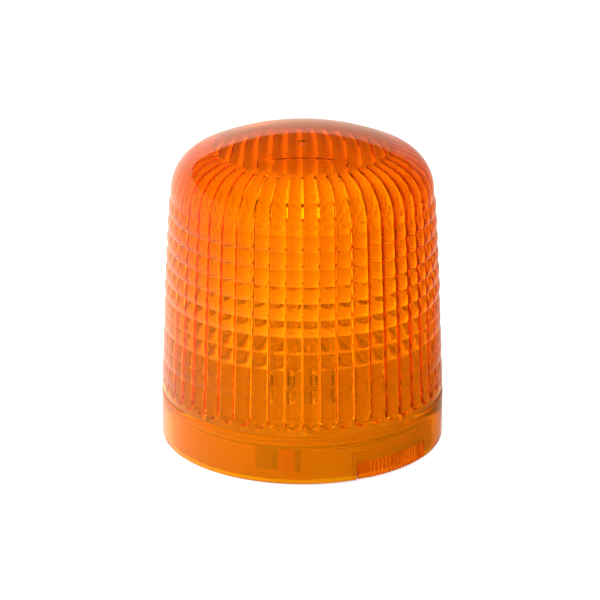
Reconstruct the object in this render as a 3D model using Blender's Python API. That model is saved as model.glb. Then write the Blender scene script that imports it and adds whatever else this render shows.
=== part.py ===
"""Amber dome warning light for a barricade: a bayonet lens over a low base that holds a flashing lamp.

All dimensions are in millimetres and become metres through MM. The Z axis is the lamp's axis.
Azimuths are in degrees, measured from the front (-Y) towards +X.
"""
import math

import bmesh
import bpy
from mathutils import Vector

MM = 0.001
MERGE = 1e-6
PEG_TURN = 7.0

# Lens, outer shape
COLLAR_R = 75.0
COLLAR_TOP = 26.4
RIM_Z = 0.4
RIM_ROUND_TOP = 2.4
WALL_FOOT_R = 74.6
WALL_FOOT_Z = 27.1
WALL_TOP_R = 68.86
SHOULDER_Z = 136.3
SHOULDER_R = 22.6
CROWN_R = 138.3
LENS_TOP = 168.6
WALL = 3.0
LENS_COLUMNS = 48
RIM_ROUND = ((74.5, 0.9), (73.6, RIM_Z))

# Lens, inside of the collar
LAND_R = 70.2
LAND_TOP = 22.8
WALL_INNER_FOOT_R = 71.4
WALL_INNER_FOOT_Z = 24.2
CHANNEL_R = 72.2
BAYONETS = 3
ENTRY_FROM = 3.4
ENTRY_TO = 21.2
CHANNEL_TO = 57.0
CHANNEL_ROUND = 1.6
LEDGE_TOP_START = 14.3
LEDGE_TOP_END = 15.9
CHANNEL_ROOF_START = 18.2
CHANNEL_ROOF_END = 19.6

# Rating plate and its pocket in the collar
PLATE_FROM = -18.9
PLATE_TO = -0.9
PLATE_LOW = 6.9
PLATE_HIGH = 19.0
PLATE_R = 70.5
PLATE_THICK = 0.4
POCKET_R = 71.2
POCKET_MARGIN = 0.5

# Lock tab and the notch that it sits in
NOTCH_FROM = 22.0
NOTCH_TO = 58.2
NOTCH_TOP = 10.8
TAB_FROM = 22.9
TAB_TO = 57.9
TAB_TOP = 10.4
TAB_LOW = 0.6
TAB_INNER_R = 72.4
TAB_FACE_R = 74.5
TAB_UNDER_R = 73.4
TAB_PLAIN = 2.4
TAB_ROUND = 0.5
TAB_RIBS = 16
TAB_RIB_FROM = 28.0
TAB_RIB_PITCH = 1.84
TAB_RIB_SLOPE = 0.35
TAB_RIB_WIDTH = 1.35

# Base housing
BASE_R = 69.6
BASE_INNER_R = 65.0
BASE_LOW = 1.5
FLOOR_TOP = 4.0
BASE_TOP = 25.0
BASE_EDGE = 0.6
GROOVE_R = 67.1
GROOVE_LOW = 19.2
GROOVE_HIGH = 22.6
LUG_FROM = 6.0
LUG_TO = 19.0
LUG_ROOT_R = 68.0
LUG_R = 71.8
LUG_LOW = 16.3
LUG_HIGH = 17.9
SEAL_CENTRE_R = 68.6
SEAL_CENTRE_Z = 20.9
SEAL_WIRE = 1.2
GASKET_IN = 58.6
GASKET_OUT = 65.4
GASKET_THICK = 1.2

# Places around the base, as radius and angle from +X
MOUNT_PLACE_R = 55.0
MOUNT_HOLE_R = 2.8
THIRDS_A = (30.0, 150.0, 270.0)
THIRDS_B = (90.0, 210.0, 330.0)
BUSH_NECK_R = 3.7
BUSH_COLLAR_R = 4.6
BUSH_TOP = 6.3
FLOOR_HOLE_R = 4.0
FIT_GAP = 0.3
GROMMET_PLACE_R = 56.0
GROMMET_NECK_R = 4.2
GROMMET_COLLAR_R = 5.6
GROMMET_TIP_R = 5.2
GROMMET_TOP = 7.2
GROMMET_HOLE_R = 2.5
GROMMET_FLOOR_HOLE_R = 4.5

# Circuit board on its standoffs, reflector plate on its posts
BOARD_IN = 14.0
BOARD_OUT = 50.0
BOARD_LOW = 8.0
BOARD_TOP = 9.6
BOARD_SCREW_R = 44.0
BOARD_SCREW_REACH = 5.3
STANDOFF_TOP = 7.7
ON_BOARD = BOARD_TOP + FIT_GAP
REFLECTOR_IN = 12.0
REFLECTOR_OUT = 64.4
REFLECTOR_LOW = 19.0
REFLECTOR_TOP = 20.6
REFLECTOR_LIP = 23.0
REFLECTOR_LIP_WIDTH = 1.4
POST_PLACE_R = 58.0
POST_TOP = 18.7
POST_R = 3.5
PLATE_SCREW_REACH = 9.0
PILOT_R = 1.6
SCREW_HOLE_R = 1.7
SCREW_SHANK_R = 1.3
SCREW_HEAD_R = 2.6
SCREW_HEAD_TOP = 1.9
SCREW_HEAD_EDGE = 1.1
SCREW_SOCKET = 1.0

# Parts on the board: heights are above ON_BOARD
FIN_TOP = 8.4
FIN_ROOT = 1.6
FIN_PITCH = 2.2
FIN_GAP = 1.0
FINS = 4
SINK_FROM_X = -39.2
SINK_BACK_X = -29.5
SINK_DEPTH = 18.0
TERMINAL_X = 38.0
TERMINAL_HALF_PITCH = 3.3
TERMINAL_HEIGHT = 8.2
TERMINAL_WELL_R = 2.5
TERMINAL_WELL_LOW = 4.0
LEAD_R = 0.9
LEAD_FROM_X = 31.9
LEAD_TO_X = 12.5
LEAD_Z = 14.0

# Lamp, its holder and the spring contact under it
CAP_R = 7.5
CAP_LOW = 11.0
CAP_TOP = 28.6
CAP_SOCKET_FLOOR = 23.5
PIN_Z = 18.0
PIN_REACH = 8.7
GLASS_R = 13.2
GLASS_CENTRE_Z = 50.0
GLASS_NECK_R = 6.6
GLASS_WALL = 0.6
FILAMENT_Z = 50.0
FILAMENT_HALF = 4.0
FILAMENT_WIRE = 0.35
HOLDER_R = 11.5
HOLDER_LOW = 4.4
HOLDER_FLOOR = 6.0
HOLDER_BORE_R = 7.9
HOLDER_PIN_TRACK_R = 9.2
HOLDER_FLANGE_R = 15.0
HOLDER_FLANGE_LOW = 20.9
HOLDER_TOP = 22.2
PIN_TRACK_HALF = 1.5
LAMP_TURN = 25.0
PLUNGER_TOP = 10.7
SPRING_LOW = 6.3
SPRING_HIGH = 9.1
SPRING_COIL_R = 3.3
SPRING_WIRE = 0.3
SPRING_TURNS = 2.5

# Mode switch
SWITCH_Y = 38.0
SWITCH_TRAVEL = 4.0
SWITCH_HEIGHT = 7.5
LEVER_FOOT = 5.8
LEVER_TOP = 23.8


def on_axis(radius, azimuth, height):
    """Point at a radius, an azimuth from the front and a height, in metres."""
    turn = math.radians(azimuth)
    return Vector((radius * math.sin(turn), -radius * math.cos(turn), height)) * MM


def from_x(radius, angle):
    """Place in the plan, in millimetres, at an angle from +X."""
    turn = math.radians(angle)
    return radius * math.cos(turn), radius * math.sin(turn)


def paint(obj, name, color, roughness, metallic=0.0, alpha=1.0):
    """Give an object its own Principled material."""
    material = bpy.data.materials.new(name)
    material.use_nodes = True
    shader = material.node_tree.nodes["Principled BSDF"]
    shader.inputs["Base Color"].default_value = (*color, 1.0)
    shader.inputs["Roughness"].default_value = roughness
    shader.inputs["Metallic"].default_value = metallic
    shader.inputs["Alpha"].default_value = alpha
    obj.data.materials.clear()
    obj.data.materials.append(material)


def finish_mesh(name, mesh_builder, sharp_angle=30.0):
    """Close a bmesh into an object with outward faces and smooth round stretches."""
    bmesh.ops.remove_doubles(mesh_builder, verts=mesh_builder.verts, dist=MERGE)
    bmesh.ops.recalc_face_normals(mesh_builder, faces=mesh_builder.faces)
    mesh = bpy.data.meshes.new(name)
    mesh_builder.to_mesh(mesh)
    mesh_builder.free()
    mesh.shade_smooth()
    mesh.set_sharp_from_angle(angle=math.radians(sharp_angle))
    obj = bpy.data.objects.new(name, mesh)
    bpy.context.scene.collection.objects.link(obj)
    return obj


def skin(name, columns, ring, closed_section):
    """Solid through columns of points: a full ring, or an arc whose two ends are capped."""
    builder = bmesh.new()
    rows = [[builder.verts.new(point) for point in column] for column in columns]
    count = len(rows[0])
    last_row = count if closed_section else count - 1
    pairs = len(rows) if ring else len(rows) - 1
    for index in range(pairs):
        here = rows[index]
        there = rows[(index + 1) % len(rows)]
        for row in range(last_row):
            above = (row + 1) % count
            builder.faces.new((here[row], there[row], there[above], here[above]))
    if not ring:
        builder.faces.new(rows[0])
        builder.faces.new(rows[-1])
    return finish_mesh(name, builder)


def turned(name, profile, segments, through_hole=False):
    """Turned solid from (radius, height) points. Without a hole, the profile ends on the axis."""
    azimuths = [360.0 * index / segments for index in range(segments)]
    columns = [[on_axis(radius, azimuth, height) for radius, height in profile] for azimuth in azimuths]
    return skin(name, columns, ring=True, closed_section=through_hole)


def block(name, size, centre, bevel=0.0):
    """Box with its centre at a place, and bevelled edges if asked for."""
    builder = bmesh.new()
    bmesh.ops.create_cube(builder, size=1.0)
    bmesh.ops.scale(builder, vec=Vector(size) * MM, verts=builder.verts)
    if bevel:
        bmesh.ops.bevel(builder, geom=builder.edges[:], offset=bevel * MM, segments=1, affect="EDGES")
    obj = finish_mesh(name, builder)
    obj.location = Vector(centre) * MM
    return obj


def extruded(name, outline, width, along_y):
    """Outline in the XZ plane, extruded by a width and centred on a Y position."""
    ends = (along_y - width / 2, along_y + width / 2)
    columns = [[Vector((x, y, z)) * MM for x, z in outline] for y in ends]
    return skin(name, columns, ring=False, closed_section=True)


def peg(name, radius, low, high, place, segments=16):
    """Plain upright cylinder at a place in the plan, turned so that no corner lies on a tool's edge."""
    obj = turned(name, [(0, low), (radius, low), (radius, high), (0, high)], segments)
    obj.rotation_euler = (0, 0, math.radians(PEG_TURN))
    obj.location = Vector((place[0], place[1], 0)) * MM
    return obj


def sleeve(name, low, high, place):
    """Upright screw post with a pilot hole down its middle."""
    profile = [(PILOT_R, low), (POST_R, low), (POST_R, high), (PILOT_R, high)]
    obj = turned(name, profile, 16, through_hole=True)
    obj.rotation_euler = (0, 0, math.radians(PEG_TURN))
    obj.location = Vector((place[0], place[1], 0)) * MM
    return obj


def combine(target, tools, operation):
    """Union with or difference from several tools, which the finished object doesn't keep."""
    for tool in tools:
        boolean = target.modifiers.new(tool.name, "BOOLEAN")
        boolean.operation = operation
        boolean.solver = "EXACT"
        boolean.object = tool
        tool.hide_render = True
        tool.display_type = "WIRE"
    bpy.context.view_layer.update()
    evaluated = target.evaluated_get(bpy.context.evaluated_depsgraph_get())
    result = bpy.data.meshes.new_from_object(evaluated)
    target.modifiers.clear()
    target.data = result
    for tool in tools:
        bpy.data.objects.remove(tool)


def tube(name, points, radius, sides=1):
    """Round wire through points in millimetres, with closed ends."""
    curve = bpy.data.curves.new(name, "CURVE")
    curve.dimensions = "3D"
    curve.bevel_depth = radius * MM
    curve.bevel_resolution = sides
    curve.use_fill_caps = True
    spline = curve.splines.new("POLY")
    spline.points.add(len(points) - 1)
    for knot, point in zip(spline.points, points):
        knot.co = (point[0] * MM, point[1] * MM, point[2] * MM, 1.0)
    obj = bpy.data.objects.new(name, curve)
    bpy.context.scene.collection.objects.link(obj)
    return obj


def between(value, keys):
    """Straight-line interpolation in (position, value) keys, held at both ends."""
    if value <= keys[0][0]:
        return keys[0][1]
    for (left, low), (right, high) in zip(keys, keys[1:]):
        if value <= right:
            return low + (high - low) * (value - left) / (right - left)
    return keys[-1][1]


# ---- lens -----------------------------------------------------------------------------------

def dome_arc(inset):
    """Crown and shoulder from the pole outwards, moved inwards by an inset."""
    shoulder_centre_r = WALL_TOP_R - SHOULDER_R
    crown_centre_z = LENS_TOP - CROWN_R
    tangent = math.atan2(shoulder_centre_r, SHOULDER_Z - crown_centre_z)
    crown = CROWN_R - inset
    shoulder = SHOULDER_R - inset
    points = [(crown * math.sin(tangent * step / 4), crown_centre_z + crown * math.cos(tangent * step / 4))
              for step in range(4)]
    for step in range(6):
        turn = tangent + (math.pi / 2 - tangent) * step / 5
        points.append((shoulder_centre_r + shoulder * math.sin(turn), SHOULDER_Z + shoulder * math.cos(turn)))
    return points


def collar_heights(azimuth):
    """Heights of the notch line, the ledge's top and the channel's roof at an azimuth."""
    third = 360.0 / BAYONETS
    local = azimuth % third
    round_start = CHANNEL_TO - CHANNEL_ROUND
    middle = (LEDGE_TOP_END + CHANNEL_ROOF_END) / 2
    half = (CHANNEL_ROOF_END - LEDGE_TOP_END) / 2
    round_mid = CHANNEL_TO - CHANNEL_ROUND * 0.3
    ledge = [(ENTRY_FROM, LEDGE_TOP_START), (ENTRY_TO, LEDGE_TOP_START), (round_start, LEDGE_TOP_END),
             (round_mid, middle - half * 0.7), (CHANNEL_TO, middle)]
    roof = [(ENTRY_FROM, CHANNEL_ROOF_START), (round_start, CHANNEL_ROOF_END),
            (round_mid, middle + half * 0.7), (CHANNEL_TO, middle)]
    pocket_low = PLATE_LOW - POCKET_MARGIN
    pocket_high = PLATE_HIGH + POCKET_MARGIN
    signed = (azimuth + 180.0) % 360.0 - 180.0
    if PLATE_FROM - POCKET_MARGIN - MERGE <= signed <= PLATE_TO + POCKET_MARGIN + MERGE:
        return pocket_low - 0.8, pocket_low, pocket_high
    return NOTCH_TOP, between(local, ledge), between(local, roof)


def lens_column(azimuth, place):
    """Section of the lens at an azimuth. The place, just beside it, says which features it cuts."""
    third = 360.0 / BAYONETS
    local = place % third
    signed = (place + 180.0) % 360.0 - 180.0
    in_entry = ENTRY_FROM < local < ENTRY_TO
    in_channel = ENTRY_FROM < local < CHANNEL_TO
    in_notch = NOTCH_FROM < signed < NOTCH_TO
    in_pocket = PLATE_FROM - POCKET_MARGIN < signed < PLATE_TO + POCKET_MARGIN
    notch_line, ledge_top, roof = collar_heights(azimuth)
    foot_r = CHANNEL_R if in_entry else LAND_R
    hollow_r = CHANNEL_R if in_channel else POCKET_R if in_pocket else LAND_R
    outside = dome_arc(0.0) + [(WALL_FOOT_R, WALL_FOOT_Z), (COLLAR_R, COLLAR_TOP), (COLLAR_R, notch_line)]
    rim = [(COLLAR_R, RIM_ROUND_TOP), *RIM_ROUND, (CHANNEL_R, RIM_Z), (foot_r, RIM_Z)]
    if in_notch:
        rim = [(radius, NOTCH_TOP) for radius, height in rim]
    inside = [(foot_r, notch_line), (foot_r, ledge_top), (hollow_r, ledge_top), (hollow_r, roof),
              (LAND_R, roof), (LAND_R, LAND_TOP), (WALL_INNER_FOOT_R, WALL_INNER_FOOT_Z)]
    profile = outside + rim + inside + dome_arc(WALL)[::-1]
    return [on_axis(radius, azimuth, height) for radius, height in profile]


def make_lens():
    """One closed dome with its collar, three bayonet channels, a pocket and a notch."""
    third = 360.0 / BAYONETS
    edges = [NOTCH_FROM, NOTCH_TO, PLATE_FROM - POCKET_MARGIN, PLATE_TO + POCKET_MARGIN]
    plain = [360.0 * index / LENS_COLUMNS for index in range(LENS_COLUMNS)]
    for index in range(BAYONETS):
        edges += [index * third + value for value in (ENTRY_FROM, ENTRY_TO, CHANNEL_TO)]
        round_start = index * third + CHANNEL_TO - CHANNEL_ROUND
        plain += [round_start, index * third + CHANNEL_TO - CHANNEL_ROUND * 0.3]
    edges = [value % 360.0 for value in edges]
    nudge = 0.01
    stops = [(value, value) for value in plain if all(abs(value - edge) > 0.3 for edge in edges)]
    stops += [(edge, edge - nudge) for edge in edges] + [(edge, edge + nudge) for edge in edges]
    stops.sort(key=lambda stop: stop[1])
    columns = [lens_column(azimuth, place) for azimuth, place in stops]
    lens = skin("lens_dome", columns, ring=True, closed_section=False)
    paint(lens, "amber_lens", (0.93, 0.34, 0.01), 0.08, alpha=0.6)


def make_rating_plate():
    """Thin curved plate that carries the rating marks, inside the collar."""
    steps = 6
    columns = []
    for step in range(steps + 1):
        azimuth = PLATE_FROM + (PLATE_TO - PLATE_FROM) * step / steps
        outer = PLATE_R + PLATE_THICK
        section = [(PLATE_R, PLATE_LOW), (outer, PLATE_LOW), (outer, PLATE_HIGH), (PLATE_R, PLATE_HIGH)]
        columns.append([on_axis(radius, azimuth, height) for radius, height in section])
    plate = skin("rating_plate", columns, ring=False, closed_section=True)
    paint(plate, "label_plate", (0.68, 0.42, 0.05), 0.6)


def make_lock_tab():
    """Press tab that closes the notch, with upright grip ribs on its face."""
    stops = [(TAB_FROM, TAB_FACE_R), (TAB_FROM + TAB_PLAIN, TAB_FACE_R)]
    for rib in range(TAB_RIBS):
        start = TAB_RIB_FROM + TAB_RIB_PITCH * rib
        stop = start + TAB_RIB_WIDTH
        stops += [(start, TAB_FACE_R), (start + TAB_RIB_SLOPE, COLLAR_R)]
        stops += [(stop - TAB_RIB_SLOPE, COLLAR_R), (stop, TAB_FACE_R)]
    stops.append((TAB_TO, TAB_FACE_R))
    columns = []
    for azimuth, face in stops:
        section = [(face, RIM_ROUND_TOP), (face, TAB_TOP), (TAB_INNER_R, TAB_TOP), (TAB_INNER_R, TAB_LOW),
                   (TAB_UNDER_R, TAB_LOW), (face - TAB_ROUND, TAB_LOW + TAB_ROUND)]
        columns.append([on_axis(radius, azimuth, height) for radius, height in section])
    tab = skin("lock_tab", columns, ring=False, closed_section=True)
    paint(tab, "amber_tab", (0.93, 0.34, 0.01), 0.12, alpha=0.6)


# ---- base -----------------------------------------------------------------------------------

def make_base_housing():
    """Low tray with a seal groove, three bayonet lugs, standoffs, posts and floor holes."""
    edge_r = BASE_R - BASE_EDGE
    profile = [(0, BASE_LOW), (edge_r, BASE_LOW), (BASE_R, BASE_LOW + BASE_EDGE), (BASE_R, GROOVE_LOW),
               (GROOVE_R, GROOVE_LOW), (GROOVE_R, GROOVE_HIGH), (BASE_R, GROOVE_HIGH),
               (BASE_R, BASE_TOP - BASE_EDGE),
               (edge_r, BASE_TOP), (BASE_INNER_R, BASE_TOP), (BASE_INNER_R, FLOOR_TOP), (0, FLOOR_TOP)]
    base = turned("base_housing", profile, 48)
    joined = []
    for index in range(BAYONETS):
        columns = []
        for step in range(5):
            azimuth = 360.0 / BAYONETS * index + LUG_FROM + (LUG_TO - LUG_FROM) * step / 4
            section = [(LUG_ROOT_R, LUG_LOW), (LUG_R, LUG_LOW), (LUG_R, LUG_HIGH), (LUG_ROOT_R, LUG_HIGH)]
            columns.append([on_axis(radius, azimuth, height) for radius, height in section])
        joined.append(skin("lug_shape", columns, ring=False, closed_section=True))
    under = FLOOR_TOP - 1.0
    joined += [sleeve("standoff_shape", under, STANDOFF_TOP, from_x(BOARD_SCREW_R, a)) for a in THIRDS_A]
    joined += [sleeve("post_shape", under, POST_TOP, from_x(POST_PLACE_R, a)) for a in THIRDS_B]
    combine(base, joined, "UNION")
    holes = [peg("floor_hole", FLOOR_HOLE_R, 0, 8, from_x(MOUNT_PLACE_R, a)) for a in THIRDS_A]
    holes.append(peg("cable_hole", GROMMET_FLOOR_HOLE_R, 0, 8, (GROMMET_PLACE_R, 0)))
    combine(base, holes, "DIFFERENCE")
    paint(base, "base_plastic", (0.82, 0.80, 0.76), 0.45)


def make_base_rubber():
    """Gasket under the base, seal ring in its groove, bushes in the bolt holes and cable grommet."""
    gasket = turned("base_gasket", [(GASKET_IN, 0), (GASKET_OUT, 0), (GASKET_OUT, GASKET_THICK),
                                    (GASKET_IN, GASKET_THICK)], 48, through_hole=True)
    paint(gasket, "gasket_rubber", (0.03, 0.03, 0.03), 0.8)
    section = []
    for step in range(8):
        turn = math.radians(22.5 + 45.0 * step)
        section.append((SEAL_CENTRE_R + SEAL_WIRE * math.cos(turn),
                        SEAL_CENTRE_Z + SEAL_WIRE * math.sin(turn)))
    seal = turned("lens_seal", section, 48, through_hole=True)
    paint(seal, "seal_rubber", (0.75, 0.72, 0.66), 0.6)
    low = BASE_LOW + FIT_GAP
    collar_low = FLOOR_TOP + FIT_GAP
    bush_profile = [(MOUNT_HOLE_R, low), (BUSH_NECK_R, low), (BUSH_NECK_R, collar_low),
                    (BUSH_COLLAR_R, collar_low),
                    (BUSH_COLLAR_R, BUSH_TOP), (MOUNT_HOLE_R, BUSH_TOP)]
    for index, angle in enumerate(THIRDS_A, 1):
        bush = turned("mounting_bush_%d" % index, bush_profile, 16, through_hole=True)
        bush.location = Vector((*from_x(MOUNT_PLACE_R, angle), 0)) * MM
        paint(bush, "bush_rubber", (0.04, 0.04, 0.04), 0.8)
    grommet_profile = [(GROMMET_HOLE_R, low), (GROMMET_NECK_R, low), (GROMMET_NECK_R, collar_low),
                       (GROMMET_COLLAR_R, collar_low), (GROMMET_TIP_R, GROMMET_TOP - 0.8),
                       (GROMMET_HOLE_R, GROMMET_TOP)]
    grommet = turned("cable_grommet", grommet_profile, 16, through_hole=True)
    grommet.location = Vector((GROMMET_PLACE_R, 0, 0)) * MM
    paint(grommet, "grommet_rubber", (0.04, 0.04, 0.04), 0.8)


def make_screws(name, places, seat, depth):
    """Socket-head screws, each with its head on a seat height and its shank below."""
    top = seat + SCREW_HEAD_TOP
    socket_r = SCREW_HEAD_R * 0.45
    profile = [(0, seat - depth), (SCREW_SHANK_R, seat - depth), (SCREW_SHANK_R, seat), (SCREW_HEAD_R, seat),
               (SCREW_HEAD_R, seat + SCREW_HEAD_EDGE), (SCREW_HEAD_R * 0.7, top), (socket_r, top),
               (socket_r, top - SCREW_SOCKET), (0, top - SCREW_SOCKET)]
    first = None
    for index, place in enumerate(places, 1):
        node = "%s_%d" % (name, index)
        if first is None:
            first = turned(node, profile, 12)
            screw = first
            paint(screw, "zinc_steel", (0.72, 0.72, 0.70), 0.35, 1.0)
        else:
            screw = bpy.data.objects.new(node, first.data)
            bpy.context.scene.collection.objects.link(screw)
        screw.location = Vector((place[0], place[1], 0)) * MM


def make_board():
    """Ring-shaped circuit board with the flasher's parts on it."""
    board = turned("circuit_board", [(BOARD_IN, BOARD_LOW), (BOARD_OUT, BOARD_LOW), (BOARD_OUT, BOARD_TOP),
                                     (BOARD_IN, BOARD_TOP)], 40, through_hole=True)
    holes = [peg("board_hole", SCREW_HOLE_R, 6, 12, from_x(BOARD_SCREW_R, angle), 12) for angle in THIRDS_A]
    combine(board, holes, "DIFFERENCE")
    paint(board, "board_green", (0.02, 0.18, 0.07), 0.5)
    make_screws("board_screw", [from_x(BOARD_SCREW_R, a) for a in THIRDS_A], ON_BOARD, BOARD_SCREW_REACH)

    for name, radius, height, place_r, angle in (("smoothing_capacitor", 6.3, 8.2, 31.0, 55.0),
                                                 ("timing_capacitor", 3.2, 7.0, 25.0, 110.0)):
        top = ON_BOARD + height
        profile = [(0, ON_BOARD), (radius, ON_BOARD), (radius, ON_BOARD + 0.8),
                   (radius * 0.94, ON_BOARD + 1.3),
                   (radius, ON_BOARD + 1.8), (radius, top - 0.5), (radius - 0.5, top), (0, top)]
        capacitor = turned(name, profile, 20)
        capacitor.location = Vector((*from_x(place_r, angle), 0)) * MM
        paint(capacitor, "capacitor_sleeve", (0.05, 0.07, 0.16), 0.3)

    choke = turned("suppression_choke", [(2.6, ON_BOARD), (5.6, ON_BOARD), (6.2, ON_BOARD + 1.2),
                                         (6.2, ON_BOARD + 4.4), (5.6, ON_BOARD + 5.6), (2.6, ON_BOARD + 5.6),
                                         (2.0, ON_BOARD + 4.4), (2.0, ON_BOARD + 1.2)], 20, through_hole=True)
    choke.location = Vector((*from_x(31.0, 305.0), 0)) * MM
    paint(choke, "choke_copper", (0.55, 0.24, 0.08), 0.35, 0.8)

    chip = block("flasher_chip", (9.6, 6.4, 3.4), (*from_x(30.0, 240.0), ON_BOARD + 1.7), 0.5)
    paint(chip, "chip_black", (0.02, 0.02, 0.02), 0.5)
    transistor = block("power_transistor", (4.4, 10.2, 8.0), (-27.0, 0, ON_BOARD + 4.0), 0.3)
    paint(transistor, "transistor_black", (0.02, 0.02, 0.02), 0.45)

    root = ON_BOARD + FIN_ROOT
    top = ON_BOARD + FIN_TOP
    outline = [(SINK_FROM_X, ON_BOARD), (SINK_BACK_X, ON_BOARD)]
    for fin in range(FINS):
        right = SINK_BACK_X - FIN_PITCH * fin
        left = right - FIN_PITCH + FIN_GAP if fin < FINS - 1 else SINK_FROM_X
        outline += [(right, top), (left, top)]
        if fin < FINS - 1:
            outline += [(left, root), (left - FIN_GAP, root)]
    sink = extruded("heat_sink", outline, SINK_DEPTH, 0.0)
    paint(sink, "heat_sink_aluminium", (0.55, 0.56, 0.58), 0.4, 1.0)


def make_terminals():
    """Two-pole terminal block, its clamp screws and the two leads to the lamp holder."""
    terminal = block("terminal_block", (11.0, 13.0, TERMINAL_HEIGHT),
                     (TERMINAL_X, 0, ON_BOARD + TERMINAL_HEIGHT / 2), 0.4)
    places = [(TERMINAL_X, side * TERMINAL_HALF_PITCH) for side in (-1, 1)]
    well_low = ON_BOARD + TERMINAL_WELL_LOW
    well_high = well_low + TERMINAL_HEIGHT
    wells = [peg("screw_well", TERMINAL_WELL_R, well_low, well_high, place) for place in places]
    combine(terminal, wells, "DIFFERENCE")
    paint(terminal, "terminal_plastic", (0.75, 0.74, 0.70), 0.5)
    seat = well_low + FIT_GAP
    profile = [(0, seat), (1.9, seat), (2.1, seat + 0.3), (2.1, seat + 1.8), (1.8, seat + 2.1),
               (0.9, seat + 2.1),
               (0.9, seat + 1.2), (0, seat + 1.2)]
    for index, place in enumerate(places, 1):
        screw = turned("terminal_screw_%d" % index, profile, 12)
        screw.location = Vector((*place, 0)) * MM
        paint(screw, "terminal_brass", (0.78, 0.60, 0.25), 0.3, 1.0)
    steps = 8
    for name, side, color in (("lead_red", 1, (0.5, 0.02, 0.02)), ("lead_black", -1, (0.03, 0.03, 0.03))):
        points = []
        for step in range(steps + 1):
            run = step / steps
            sag = math.sin(math.pi * run)
            x = LEAD_FROM_X + (LEAD_TO_X - LEAD_FROM_X) * run
            points.append((x, side * (TERMINAL_HALF_PITCH + 1.2 * sag - 0.8 * run), LEAD_Z + 1.6 * sag))
        paint(tube(name, points, LEAD_R), name + "_sleeve", color, 0.5)


def make_reflector():
    """White reflector plate over the board, with a lip, screw holes and the switch's slot."""
    lip_inner = REFLECTOR_OUT - REFLECTOR_LIP_WIDTH
    plate = turned("reflector_plate", [(REFLECTOR_IN, REFLECTOR_LOW), (REFLECTOR_OUT, REFLECTOR_LOW),
                                       (REFLECTOR_OUT, REFLECTOR_LIP), (lip_inner, REFLECTOR_LIP),
                                       (lip_inner - 1.0, REFLECTOR_TOP), (REFLECTOR_IN, REFLECTOR_TOP)],
                   48, through_hole=True)
    cuts = [peg("plate_hole", SCREW_HOLE_R, 15, 25, from_x(POST_PLACE_R, angle), 12) for angle in THIRDS_B]
    cuts.append(block("switch_slot", (SWITCH_TRAVEL + 4.0, 3.6, 10.0), (SWITCH_TRAVEL / 2, SWITCH_Y, 20.0)))
    combine(plate, cuts, "DIFFERENCE")
    paint(plate, "reflector_white", (0.85, 0.85, 0.83), 0.25)
    places = [from_x(POST_PLACE_R, angle) for angle in THIRDS_B]
    make_screws("plate_screw", places, REFLECTOR_TOP + FIT_GAP, PLATE_SCREW_REACH)


def make_mode_switch():
    """Slide switch on the board, whose lever comes up through the reflector plate."""
    middle = SWITCH_TRAVEL / 2
    top = ON_BOARD + SWITCH_HEIGHT
    body = block("mode_switch_body", (14.0, 7.0, SWITCH_HEIGHT),
                 (middle, SWITCH_Y, top - SWITCH_HEIGHT / 2), 0.3)
    slot = block("switch_cut", (9.4, 3.4, 4.0), (middle, SWITCH_Y, top))
    combine(body, [slot], "DIFFERENCE")
    paint(body, "switch_housing", (0.05, 0.05, 0.055), 0.5)
    foot = ON_BOARD + LEVER_FOOT
    half_foot = 2.3
    half = 1.3
    right = [(half_foot, foot), (half_foot, foot + 1.4), (half, foot + 1.4), (half, LEVER_TOP - 0.4),
             (1.0, LEVER_TOP)]
    outline = right + [(-x, z) for x, z in right[::-1]]
    slider = extruded("mode_switch_slider", outline, 2.6, SWITCH_Y)
    paint(slider, "switch_lever", (0.85, 0.85, 0.82), 0.4)


def make_lamp_holder():
    """Sleeve with a flange on the plate, a track for the lamp's pins and two entry slots."""
    track_low = PIN_Z - PIN_TRACK_HALF
    track_high = PIN_Z + PIN_TRACK_HALF
    edge = 0.5
    profile = [(0, HOLDER_LOW), (HOLDER_R - edge, HOLDER_LOW), (HOLDER_R, HOLDER_LOW + edge),
               (HOLDER_R, HOLDER_FLANGE_LOW), (HOLDER_FLANGE_R, HOLDER_FLANGE_LOW),
               (HOLDER_FLANGE_R, HOLDER_TOP - edge), (HOLDER_FLANGE_R - edge, HOLDER_TOP),
               (HOLDER_BORE_R, HOLDER_TOP), (HOLDER_BORE_R, track_high), (HOLDER_PIN_TRACK_R, track_high),
               (HOLDER_PIN_TRACK_R, track_low), (HOLDER_BORE_R, track_low), (HOLDER_BORE_R, HOLDER_FLOOR),
               (0, HOLDER_FLOOR)]
    holder = turned("lamp_holder", profile, 28)
    slot = block("pin_slots", (2 * HOLDER_PIN_TRACK_R, 3.0, 4.0), (0, 0, PIN_Z + 3.0))
    slot.rotation_euler = (0, 0, math.radians(LAMP_TURN))
    combine(holder, [slot], "DIFFERENCE")
    paint(holder, "holder_plastic", (0.80, 0.80, 0.78), 0.4)


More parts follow.
